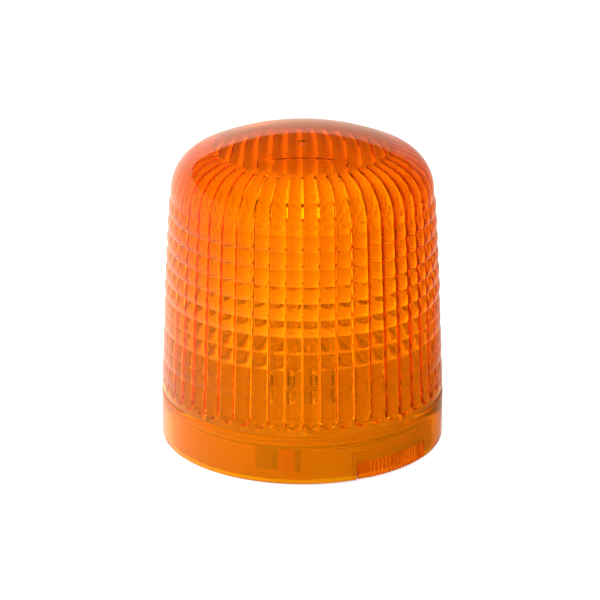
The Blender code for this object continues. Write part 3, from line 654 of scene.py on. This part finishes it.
def make_base():
    """Fine base tray with its lugs, posts, standoffs and floor holes."""
    edges = [index * 360.0 / BAYONETS + value for index in range(BAYONETS) for value in (LUG_FROM, LUG_TO)]
    plain = spread(0.0, 360.0, 144, last=False)
    columns = [base_column(azimuth, place) for azimuth, place in stops_around(plain, edges, 0.3)]
    base = skin("base_tray", columns, ring=True, closed_section=False, sharp=35.0)
    under = FLOOR_TOP - 1.0
    posts = []
    for place_r, angles, top in ((STANDOFF_PLACE_R, BOLT_ANGLES, STANDOFF_TOP),
                                 (POST_PLACE_R, POST_ANGLES, POST_TOP)):
        profile = [(PILOT_R, under), (POST_R, under), (POST_R, top), (PILOT_R, top)]
        for angle in angles:
            posts.append(move_to(turned("post_shape", profile, 24, hole=True), from_x(place_r, angle)))
    combine(base, posts, "UNION")
    hole = [(0, 0), (FLOOR_HOLE_R, 0), (FLOOR_HOLE_R, 8), (0, 8)]
    holes = [move_to(turned("hole_shape", hole, 32), from_x(BOLT_PLACE_R, angle)) for angle in BOLT_ANGLES]
    hole = [(0, 0), (CABLE_HOLE_R, 0), (CABLE_HOLE_R, 8), (0, 8)]
    holes.append(move_to(turned("hole_shape", hole, 32), (CABLE_PLACE_R, 0)))
    combine(base, holes, "DIFFERENCE")
    plastic = plain_surface("base_plastic", (0.66, 0.64, 0.60), 0.4, variation=0.03)
    stand_for(base, "base_housing", "base", plastic)


def make_rubber():
    """Fine seal, gasket, bushes and grommet."""
    seal = [(SEAL_CENTRE_R + SEAL_WIRE * math.cos(turn), SEAL_CENTRE_Z + SEAL_WIRE * math.sin(turn))
            for turn in spread(0.0, 2 * math.pi, 20, last=False)]
    silicone = plain_surface("seal_rubber", (0.75, 0.72, 0.66), 0.5, variation=0.03)
    stand_for(turned("seal_ring", seal, 144, hole=True), "lens_seal", "seal", silicone)
    black = plain_surface("black_rubber", (0.02, 0.02, 0.02), 0.7)
    gasket = rounded([(GASKET_IN, 0), (GASKET_OUT, 0), (GASKET_OUT, GASKET_THICK),
                      (GASKET_IN, GASKET_THICK)], 0.25, closed=True)
    stand_for(turned("foot_gasket", gasket, 144, hole=True), "base_gasket", "base", black)
    low = BASE_LOW + 0.3
    collar = FLOOR_TOP + 0.3
    bush = rounded([(BUSH_HOLE_R, low), (BUSH_NECK_R, low), (BUSH_NECK_R, collar), (BUSH_COLLAR_R, collar),
                    (BUSH_COLLAR_R, BUSH_TOP), (BUSH_HOLE_R, BUSH_TOP)], 0.3, closed=True)
    for index, angle in enumerate(BOLT_ANGLES, 1):
        ring = move_to(turned("bolt_bush_%d" % index, bush, 40, hole=True), from_x(BOLT_PLACE_R, angle))
        stand_for(ring, "mounting_bush_%d" % index, "base", black)
    grommet = rounded([(GROMMET_HOLE_R, low), (GROMMET_NECK_R, low), (GROMMET_NECK_R, collar),
                       (GROMMET_COLLAR_R, collar), (GROMMET_COLLAR_R - 0.4, GROMMET_TOP - 0.8),
                       (GROMMET_HOLE_R + 0.9, GROMMET_TOP), (GROMMET_HOLE_R, GROMMET_TOP)], 0.3, closed=True)
    ring = move_to(turned("cable_ring", grommet, 40, hole=True), (CABLE_PLACE_R, 0))
    stand_for(ring, "cable_grommet", "base", black)


def make_plate():
    """Fine reflector plate with its lip, screw holes and the switch's slot, and its screws."""
    lip = PLATE_OUT - 1.4
    profile = rounded([(PLATE_IN, PLATE_UNDER), (PLATE_OUT, PLATE_UNDER), (PLATE_OUT, PLATE_LIP),
                       (lip, PLATE_LIP), (lip - 1.0, PLATE_FACE), (PLATE_IN, PLATE_FACE)], 0.4, closed=True)
    plate = turned("reflector", profile, 144, hole=True)
    hole = [(0, 15), (1.7, 15), (1.7, 25), (0, 25)]
    cuts = [move_to(turned("hole_shape", hole, 32), from_x(POST_PLACE_R, angle)) for angle in POST_ANGLES]
    half_x, half_y = SWITCH_TRAVEL / 2 + 2.0, 1.8
    middle = SWITCH_TRAVEL / 2
    left, right = middle - half_x, middle + half_x
    near, far = SWITCH_Y - half_y, SWITCH_Y + half_y
    outline = rounded([(left, near), (right, near), (right, far), (left, far)], 1.0, closed=True)
    columns = [[(x * MM, y * MM, z * MM) for x, y in outline] for z in (15.0, 25.0)]
    cuts.append(skin("slot_shape", columns, ring=False, closed_section=True))
    combine(plate, cuts, "DIFFERENCE")
    white = plain_surface("reflector_white", (0.78, 0.78, 0.76), 0.2, variation=0.02)
    stand_for(plate, "reflector_plate", "base", white)
    steel = plain_surface("zinc_steel", (0.62, 0.62, 0.60), 0.3, 1.0)
    for index, angle in enumerate(POST_ANGLES, 1):
        screw = screw_shape("reflector_screw_%d" % index, PLATE_FACE + 0.3, 9.0)
        screw.location = [value * MM for value in (*from_x(POST_PLACE_R, angle), 0.0)]
        stand_for(screw, "plate_screw_%d" % index, "base", steel)


def screw_shape(name, seat, reach):
    """Button-head screw with a hexagonal socket."""
    top = seat + 1.9
    columns = []
    for azimuth in spread(0.0, 360.0, 48, last=False):
        socket = 1.0 / math.cos(math.radians((azimuth + 30.0) % 60.0 - 30.0))
        profile = [(0, seat - reach), (0.9, seat - reach), (1.3, seat - reach + 0.6), (1.3, seat),
                   (2.5, seat), (2.6, seat + 0.1), (2.6, seat + 0.9), (2.4, seat + 1.35),
                   (1.9, seat + 1.75), (1.45, top), (socket + 0.12, top), (socket, top - 0.12),
                   (socket, top - 1.0), (0, top - 1.15)]
        columns.append([on_axis(radius, azimuth, height) for radius, height in profile])
    return skin(name, columns, ring=True, closed_section=False, sharp=30.0)


def make_switch_lever():
    """Slide switch's lever, with two grip grooves across its top."""
    right = [(2.3, LEVER_FOOT), (2.3, LEVER_FOOT + 1.4), (1.3, LEVER_FOOT + 1.4), (1.3, LEVER_TOP - 0.3),
             (1.1, LEVER_TOP), (0.75, LEVER_TOP), (0.55, LEVER_TOP - 0.3), (0.35, LEVER_TOP)]
    outline = right + [(-x, z) for x, z in right[::-1]]
    columns = [[(x * MM, y * MM, z * MM) for x, z in outline]
               for y in (SWITCH_Y - LEVER_HALF_DEPTH, SWITCH_Y + LEVER_HALF_DEPTH)]
    lever = skin("switch_lever", columns, ring=False, closed_section=True)
    bevel = lever.modifiers.new("edges", "BEVEL")
    bevel.width = 0.1 * MM
    bevel.segments = 2
    bake(lever)
    white = plain_surface("lever_white", (0.8, 0.8, 0.78), 0.4, variation=0.03)
    stand_for(lever, "mode_switch_slider", "switch", white)


def make_holder():
    """Fine lamp holder with its pin track and two entry slots."""
    edges = [value % 360.0 for middle in SLOT_AZIMUTHS for value in (middle - SLOT_HALF, middle + SLOT_HALF)]
    plain = spread(0.0, 360.0, 96, last=False)
    low, high = PIN_Z - TRACK_HALF, PIN_Z + TRACK_HALF
    columns = []
    for azimuth, place in stops_around(plain, edges, 0.3):
        in_slot = any(abs(place - middle) < SLOT_HALF for middle in SLOT_AZIMUTHS)
        mouth = HOLDER_TRACK_R if in_slot else HOLDER_BORE_R
        profile = [(0, HOLDER_LOW), (HOLDER_R - 0.5, HOLDER_LOW), (HOLDER_R, HOLDER_LOW + 0.5),
                   (HOLDER_R, HOLDER_FLANGE_LOW), (HOLDER_FLANGE_R, HOLDER_FLANGE_LOW),
                   (HOLDER_FLANGE_R, HOLDER_TOP - 0.5), (HOLDER_FLANGE_R - 0.15, HOLDER_TOP - 0.15),
                   (HOLDER_FLANGE_R - 0.5, HOLDER_TOP), (mouth + 0.3, HOLDER_TOP), (mouth, HOLDER_TOP - 0.3),
                   (mouth, high), (HOLDER_TRACK_R, high), (HOLDER_TRACK_R, low), (HOLDER_BORE_R, low),
                   (HOLDER_BORE_R, HOLDER_FLOOR), (0, HOLDER_FLOOR)]
        columns.append([on_axis(radius, azimuth, height) for radius, height in profile])
    holder = skin("socket", columns, ring=True, closed_section=False, sharp=35.0)
    plastic = plain_surface("holder_plastic", (0.82, 0.82, 0.79), 0.4, variation=0.03)
    stand_for(holder, "lamp_holder", "base", plastic)


def make_lamp():
    """Fine lamp: cap with pins and insulator, glass with its stem, coiled filament on two supports."""
    profile = [(0, CAP_LOW), (1.4, CAP_LOW + 0.1), (2.2, CAP_LOW + 0.6), (2.5, CAP_LOW + 1.3),
               (2.5, CAP_LOW + 1.9), (5.8, CAP_LOW + 1.9), (6.0, CAP_LOW + 1.6), (6.6, CAP_LOW + 1.7),
               (7.2, CAP_LOW + 2.2), (CAP_R, CAP_LOW + 3.0), (CAP_R, CAP_BEAD),
               (CAP_R - 0.25, CAP_BEAD + 0.3), (CAP_R - 0.25, CAP_BEAD + 0.8), (CAP_R, CAP_BEAD + 1.1),
               (CAP_R, CAP_TOP - 0.3),
               (CAP_R - 0.2, CAP_TOP), (CAP_R - 0.5, CAP_TOP), (CAP_R - 0.5, CAP_FLOOR), (0, CAP_FLOOR)]
    cap = turned("cap", profile, 96)
    profile = rounded([(0, -PIN_REACH), (PIN_R, -PIN_REACH), (PIN_R, PIN_REACH), (0, PIN_REACH)], 0.4)
    pin = turned("pin_shape", profile, 24)
    pin.rotation_euler = (0.0, math.radians(90.0), 0.0)
    pin.location = (0.0, 0.0, PIN_Z * MM)
    combine(cap, [pin], "UNION")
    nickel = plain_surface("nickel_brass", (0.80, 0.77, 0.70), 0.28, 1.0, variation=0.05)
    stand_for(cap, "lamp_cap", "lamp", nickel)
    low, high = CAP_LOW + 1.2, CAP_LOW + 1.8
    profile = rounded([(2.6, low), (5.7, low), (5.7, high), (2.6, high)], 0.2, closed=True)
    insulator = turned("cap_insulator", profile, 64, hole=True)
    dark = plain_surface("insulator_glass", (0.02, 0.02, 0.03), 0.15)
    stand_for(insulator, None, "lamp", dark)

    neck_low = CAP_FLOOR + 0.4
    start = math.asin(GLASS_NECK_R / GLASS_R)
    neck_top = GLASS_CENTRE_Z - GLASS_R * math.cos(start)
    walls = []
    for radius, neck_r in ((GLASS_R, GLASS_NECK_R), (GLASS_R - GLASS_WALL, GLASS_NECK_R - GLASS_WALL)):
        wall = [(neck_r, height) for height in spread(neck_low, neck_top - 2.0, 4)]
        for turn in spread(start, math.pi, 24)[1:]:
            wall.append((max(radius * math.sin(turn), 0.0), GLASS_CENTRE_Z - radius * math.cos(turn)))
        walls.append(wall)
    profile = walls[0] + walls[1][::-1]
    glass_columns = [[on_axis(radius, azimuth, height) for radius, height in profile]
                     for azimuth in spread(0.0, 360.0, 96, last=False)]
    bulb = open_shell("bulb", glass_columns, len(walls[0]))
    stand_for(bulb, "lamp_glass", "lamp", clear_glass("clear_glass"))
    profile = [(0, 24.4), (4.6, 24.4), (3.4, 26.0), (2.4, 29.0), (2.7, 32.0), (2.2, 33.4), (0, 33.6)]
    stem = turned("lamp_stem", profile, 48)
    stand_for(stem, None, "lamp", clear_glass("stem_glass"))

    steps = FILAMENT_TURNS * 12
    coil = []
    for step in range(steps + 1):
        share = step / steps
        angle = 2 * math.pi * FILAMENT_TURNS * share
        along = -FILAMENT_HALF + 0.4 + (2 * FILAMENT_HALF - 0.8) * share
        height = GLASS_CENTRE_Z + FILAMENT_COIL_R * math.sin(angle)
        coil.append((along, FILAMENT_COIL_R * math.cos(angle), height))
    tungsten = plain_surface("tungsten", (0.3, 0.3, 0.3), 0.4, 1.0)
    stand_for(wire("filament", coil, 0.07, 1), "lamp_filament", "lamp", tungsten)
    steel = plain_surface("support_wire", (0.55, 0.55, 0.56), 0.3, 1.0)
    for name, side in (("filament_support_1", -1.0), ("filament_support_2", 1.0)):
        points = [(side * 1.2, 0, 31.0), (side * 1.6, 0, 35.0), (side * 3.6, 0, 44.0),
                  (side * 3.75, 0, 48.5), (side * 3.75, 0, GLASS_CENTRE_Z + 0.2)]
        stand_for(wire(name, points, 0.2), None, "lamp", steel)


def open_shell(name, columns, outer_rows_count):
    """Bulb whose outer and inner walls both reach the axis and join only at the neck."""
    rows = len(columns[0])
    vertices = [point for column in columns for point in column]
    faces = []
    for index in range(len(columns)):
        here, there = index * rows, (index + 1) % len(columns) * rows
        for row in range(rows):
            if row == outer_rows_count - 1:
                continue
            after = (row + 1) % rows
            faces.append((here + row, there + row, there + after, here + after))
    mesh = bpy.data.meshes.new(name)
    mesh.from_pydata(vertices, [], faces)
    builder = bmesh.new()
    builder.from_mesh(mesh)
    bmesh.ops.remove_doubles(builder, verts=builder.verts, dist=MERGE)
    bmesh.ops.recalc_face_normals(builder, faces=builder.faces)
    builder.to_mesh(mesh)
    builder.free()
    mesh.shade_smooth()
    mesh.set_sharp_from_angle(angle=math.radians(35.0))
    obj = bpy.data.objects.new(name, mesh)
    bpy.context.scene.collection.objects.link(obj)
    return obj


# ---- materials ------------------------------------------------------------------------------

def node_material(name, roughness=0.4, metallic=0.0):
    """New material and its Principled shader."""
    material = bpy.data.materials.new(name)
    material.use_nodes = True
    shader = material.node_tree.nodes["Principled BSDF"]
    shader.inputs["Roughness"].default_value = roughness
    shader.inputs["Metallic"].default_value = metallic
    return material, shader


def add_node(material, kind, **values):
    """Node of a kind, with its named inputs set."""
    node = material.node_tree.nodes.new(kind)
    for key, value in values.items():
        node.inputs[key].default_value = value
    return node


def fill_ramp(ramp, stops):
    """Gives a colour ramp its stops, as (position, colour), in place of the two that it starts with."""
    for position, color in stops:
        ramp.color_ramp.elements.new(position).color = (*color, 1.0)
    ramp.color_ramp.elements.remove(ramp.color_ramp.elements[-1])
    ramp.color_ramp.elements.remove(ramp.color_ramp.elements[0])


def height_ramp(material, stops):
    """Colour ramp up the height of the light, from (height in millimetres, colour) stops."""
    links = material.node_tree.links
    place = add_node(material, "ShaderNodeTexCoord")
    split = material.node_tree.nodes.new("ShaderNodeSeparateXYZ")
    share = material.node_tree.nodes.new("ShaderNodeMapRange")
    ramp = material.node_tree.nodes.new("ShaderNodeValToRGB")
    links.new(place.outputs["Object"], split.inputs["Vector"])
    links.new(split.outputs["Z"], share.inputs["Value"])
    share.inputs["From Max"].default_value = LENS_TOP * MM
    links.new(share.outputs["Result"], ramp.inputs["Fac"])
    fill_ramp(ramp, [(height / LENS_TOP, color) for height, color in stops])
    return ramp


def amber_plastic(name, tints=AMBER_TINT_AND_SHADE):
    """Amber plastic, clear in the dome and a little cloudy in the collar, with faint moulding waves, painted
    shade in each flute's valley and, with the lens's tints, a darker painted shade on the shoulder and crown.
    """
    material, shader = node_material(name, 0.03)
    links = material.node_tree.links
    around = material.node_tree.nodes.new("ShaderNodeTexGradient")
    around.gradient_type = "RADIAL"
    place = add_node(material, "ShaderNodeTexCoord")
    links.new(place.outputs["Object"], around.inputs["Vector"])
    count = material.node_tree.nodes.new("ShaderNodeMath")
    count.operation = "MULTIPLY"
    count.inputs[1].default_value = FLUTES
    links.new(around.outputs["Fac"], count.inputs[0])
    flute = material.node_tree.nodes.new("ShaderNodeMath")
    flute.operation = "FRACT"
    links.new(count.outputs["Value"], flute.inputs[0])
    # painted shade: a dark line at each flute's valley with a ramp beside it, multiplied into the colour
    valley = material.node_tree.nodes.new("ShaderNodeValToRGB")
    links.new(flute.outputs["Value"], valley.inputs["Fac"])
    fill_ramp(valley, FLUTE_PAINTED_SHADE)
    # the tint darkens on the shoulder and crown as painted shade
    tint_and_shade = height_ramp(material, tints)
    flute_shade_reach = height_ramp(material, FLUTE_SHADE_HEIGHTS)
    both = material.node_tree.nodes.new("ShaderNodeMix")
    both.data_type = "RGBA"
    both.blend_type = "MULTIPLY"
    links.new(flute_shade_reach.outputs["Color"], both.inputs["Factor"])
    links.new(tint_and_shade.outputs["Color"], both.inputs["A"])
    links.new(valley.outputs["Color"], both.inputs["B"])
    links.new(both.outputs["Result"], shader.inputs["Base Color"])
    clear = height_ramp(material, AMBER_CLEAR)
    links.new(clear.outputs["Color"], shader.inputs["Transmission Weight"])
    shader.inputs["IOR"].default_value = 1.49
    shader.inputs["Specular Tint"].default_value = (1.0, 0.42, 0.02, 1.0)
    depth = add_node(material, "ShaderNodeVolumeAbsorption")
    depth.inputs["Color"].default_value = (0.98, 0.40, 0.10, 1.0)
    depth.inputs["Density"].default_value = 100.0
    output = material.node_tree.nodes["Material Output"]
    links.new(depth.outputs["Volume"], output.inputs["Volume"])
    place = add_node(material, "ShaderNodeTexCoord")
    waves = add_node(material, "ShaderNodeTexNoise", Scale=55.0, Detail=2.0)
    links.new(place.outputs["Object"], waves.inputs["Vector"])
    bump = add_node(material, "ShaderNodeBump", Strength=0.04, Distance=0.001)
    links.new(waves.outputs["Fac"], bump.inputs["Height"])
    links.new(bump.outputs["Normal"], shader.inputs["Normal"])
    return material


def plain_surface(name, color, roughness, metallic=0.0, grain=400.0, depth=0.0001, variation=0.12):
    """Moulded or drawn surface: fine grain in its bump, roughness and colour."""
    material, shader = node_material(name, roughness, metallic)
    links = material.node_tree.links
    place = add_node(material, "ShaderNodeTexCoord")
    noise = add_node(material, "ShaderNodeTexNoise", Scale=grain, Detail=4.0)
    links.new(place.outputs["Object"], noise.inputs["Vector"])
    ramp = material.node_tree.nodes.new("ShaderNodeValToRGB")
    low = [channel * (1.0 - variation) for channel in color]
    high = [min(channel * (1.0 + variation), 1.0) for channel in color]
    ramp.color_ramp.elements[0].position = 0.3
    ramp.color_ramp.elements[0].color = (*low, 1.0)
    ramp.color_ramp.elements[1].position = 0.7
    ramp.color_ramp.elements[1].color = (*high, 1.0)
    links.new(noise.outputs["Fac"], ramp.inputs["Fac"])
    links.new(ramp.outputs["Color"], shader.inputs["Base Color"])
    spread_range = material.node_tree.nodes.new("ShaderNodeMapRange")
    spread_range.inputs["To Min"].default_value = roughness * 0.85
    spread_range.inputs["To Max"].default_value = min(roughness * 1.2, 1.0)
    links.new(noise.outputs["Fac"], spread_range.inputs["Value"])
    links.new(spread_range.outputs["Result"], shader.inputs["Roughness"])
    bump = add_node(material, "ShaderNodeBump", Strength=0.4, Distance=depth)
    links.new(noise.outputs["Fac"], bump.inputs["Height"])
    links.new(bump.outputs["Normal"], shader.inputs["Normal"])
    return material


def clear_glass(name):
    """Thin blown glass of the lamp, with a little waviness."""
    material, shader = node_material(name, 0.01)
    shader.inputs["Base Color"].default_value = (1.0, 1.0, 1.0, 1.0)
    shader.inputs["Transmission Weight"].default_value = 1.0
    shader.inputs["IOR"].default_value = 1.5
    place = add_node(material, "ShaderNodeTexCoord")
    waves = add_node(material, "ShaderNodeTexNoise", Scale=90.0, Detail=1.0)
    material.node_tree.links.new(place.outputs["Object"], waves.inputs["Vector"])
    bump = add_node(material, "ShaderNodeBump", Strength=0.03, Distance=0.001)
    material.node_tree.links.new(waves.outputs["Fac"], bump.inputs["Height"])
    material.node_tree.links.new(bump.outputs["Normal"], shader.inputs["Normal"])
    return material


def dress(names, material):
    """Give a material to carried-over CAD nodes."""
    for name in names:
        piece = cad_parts[name]
        piece.data.materials.clear()
        piece.data.materials.append(material)


def make_spring():
    """Fine coil spring under the lamp's contact, with a mesh of its own."""
    steps = 90
    rise = SPRING_HIGH - SPRING_LOW - 2 * SPRING_WIRE
    points = []
    for step in range(steps + 1):
        share = step / steps
        turn = math.radians(360.0 * SPRING_TURNS * share)
        height = SPRING_LOW + SPRING_WIRE + rise * share
        points.append((SPRING_COIL_R * math.cos(turn), SPRING_COIL_R * math.sin(turn), height))
    spring = wire("spring", points, SPRING_WIRE)
    steel = plain_surface("spring_steel", (0.6, 0.6, 0.61), 0.3, 1.0)
    stand_for(spring, "contact_spring", "base", steel)
    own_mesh(spring)


def dress_frame():
    """Materials of the CAD nodes that stay."""
    dress(["circuit_board"], plain_surface("solder_mask", (0.01, 0.12, 0.04), 0.35))
    steel = plain_surface("zinc_steel", (0.62, 0.62, 0.60), 0.3, 1.0)
    dress(["board_screw_%d" % index for index in (1, 2, 3)], steel)
    sleeve = plain_surface("capacitor_sleeve", (0.02, 0.03, 0.09), 0.3)
    dress(["smoothing_capacitor", "timing_capacitor"], sleeve)
    dress(["suppression_choke"], plain_surface("choke_copper", (0.45, 0.16, 0.04), 0.35, 0.8))
    dress(["flasher_chip", "power_transistor"], plain_surface("chip_black", (0.02, 0.02, 0.02), 0.5))
    dress(["heat_sink"], plain_surface("heat_sink_aluminium", (0.55, 0.56, 0.58), 0.4, 1.0))
    dress(["terminal_block"], plain_surface("terminal_plastic", (0.65, 0.64, 0.58), 0.5))
    brass = plain_surface("brass", (0.72, 0.52, 0.18), 0.3, 1.0)
    dress(["terminal_screw_1", "terminal_screw_2", "contact_plunger"], brass)
    dress(["lead_red"], plain_surface("lead_red_sleeve", (0.45, 0.02, 0.02), 0.45))
    dress(["lead_black"], plain_surface("lead_black_sleeve", (0.02, 0.02, 0.02), 0.45))
    dress(["mode_switch_body"], plain_surface("switch_housing", (0.03, 0.03, 0.035), 0.5))


# ---- studio ---------------------------------------------------------------------------------

def make_studio():
    """White ground, a sky that is bright low down and at the left and dark above, and soft lamps."""
    scene = bpy.context.scene
    bpy.ops.mesh.primitive_plane_add(size=12.0, location=(0.0, 0.0, 0.0))
    floor = bpy.context.object
    floor.name = "studio_floor"
    material, shader = node_material("studio_white", 0.9)
    shader.inputs["Base Color"].default_value = (0.35, 0.35, 0.35, 1.0)
    shader.inputs["Emission Strength"].default_value = 1.0
    shader.inputs["Specular IOR Level"].default_value = 0.0
    links = material.node_tree.links
    where = add_node(material, "ShaderNodeTexCoord")
    apart = material.node_tree.nodes.new("ShaderNodeSeparateXYZ")
    across = material.node_tree.nodes.new("ShaderNodeMapRange")
    glow = material.node_tree.nodes.new("ShaderNodeValToRGB")
    links.new(where.outputs["Object"], apart.inputs["Vector"])
    links.new(apart.outputs["X"], across.inputs["Value"])
    across.inputs["From Min"].default_value = -1.0
    across.inputs["From Max"].default_value = 1.0
    links.new(across.outputs["Result"], glow.inputs["Fac"])
    fill_ramp(glow, [(share, (level, level, level)) for share, level in FLOOR_GLOW])
    links.new(glow.outputs["Color"], shader.inputs["Emission Color"])
    floor.data.materials.append(material)
    floor.visible_glossy = False

    world = bpy.data.worlds.new("studio")
    scene.world = world
    world.use_nodes = True
    nodes, links = world.node_tree.nodes, world.node_tree.links
    place = nodes.new("ShaderNodeTexCoord")
    split = nodes.new("ShaderNodeSeparateXYZ")
    upward = nodes.new("ShaderNodeMapRange")
    across = nodes.new("ShaderNodeMapRange")
    bands = nodes.new("ShaderNodeValToRGB")
    sides = nodes.new("ShaderNodeValToRGB")
    both = nodes.new("ShaderNodeMix")
    both.data_type = "RGBA"
    both.blend_type = "MULTIPLY"
    both.inputs["Factor"].default_value = 1.0
    links.new(place.outputs["Generated"], split.inputs["Vector"])
    for axis, share, ramp in (("Z", upward, bands), ("X", across, sides)):
        share.inputs["From Min"].default_value = -1.0
        links.new(split.outputs[axis], share.inputs["Value"])
        links.new(share.outputs["Result"], ramp.inputs["Fac"])
    for ramp, stops in ((bands, SKY_UP), (sides, SKY_ACROSS)):
        fill_ramp(ramp, [(share, (level, level * SKY_WARMTH, level * SKY_WARMTH * SKY_WARMTH))
                         for share, level in stops])
    links.new(bands.outputs["Color"], both.inputs["A"])
    links.new(sides.outputs["Color"], both.inputs["B"])
    links.new(both.outputs["Result"], nodes["Background"].inputs["Color"])
    nodes["Background"].inputs["Strength"].default_value = 1.0
    scene.view_settings.view_transform = "Standard"

    for name, spot, size, power in LAMPS:
        lamp = bpy.data.lights.new(name, "AREA")
        lamp.size = size
        lamp.energy = power
        light = bpy.data.objects.new(name, lamp)
        light.visible_glossy = False
        scene.collection.objects.link(light)
        light.location = spot
        light.rotation_euler = (Vector(LAMP_AIM) - Vector(spot)).to_track_quat("-Z", "Y").to_euler()


def make_camera():
    """Long lens about 1.6 metres away, looking down by about 20 degrees."""
    camera = bpy.data.cameras.new("camera")
    camera.lens = CAMERA_LENS
    camera.sensor_width = 36.0
    holder = bpy.data.objects.new("camera", camera)
    bpy.context.scene.collection.objects.link(holder)
    holder.location = CAMERA_PLACE
    holder.rotation_euler = (math.radians(90.0 - CAMERA_DOWN), 0.0, 0.0)
    bpy.context.scene.camera = holder


bpy.context.scene.cycles.max_bounces = 24
bpy.context.scene.cycles.transmission_bounces = 24
bpy.context.scene.cycles.glossy_bounces = 12

make_camera()
make_studio()
make_lens()
make_rating_plate()
make_lock_tab()
make_base()
make_rubber()
make_plate()
make_switch_lever()
make_holder()
make_lamp()
make_spring()
dress_frame()
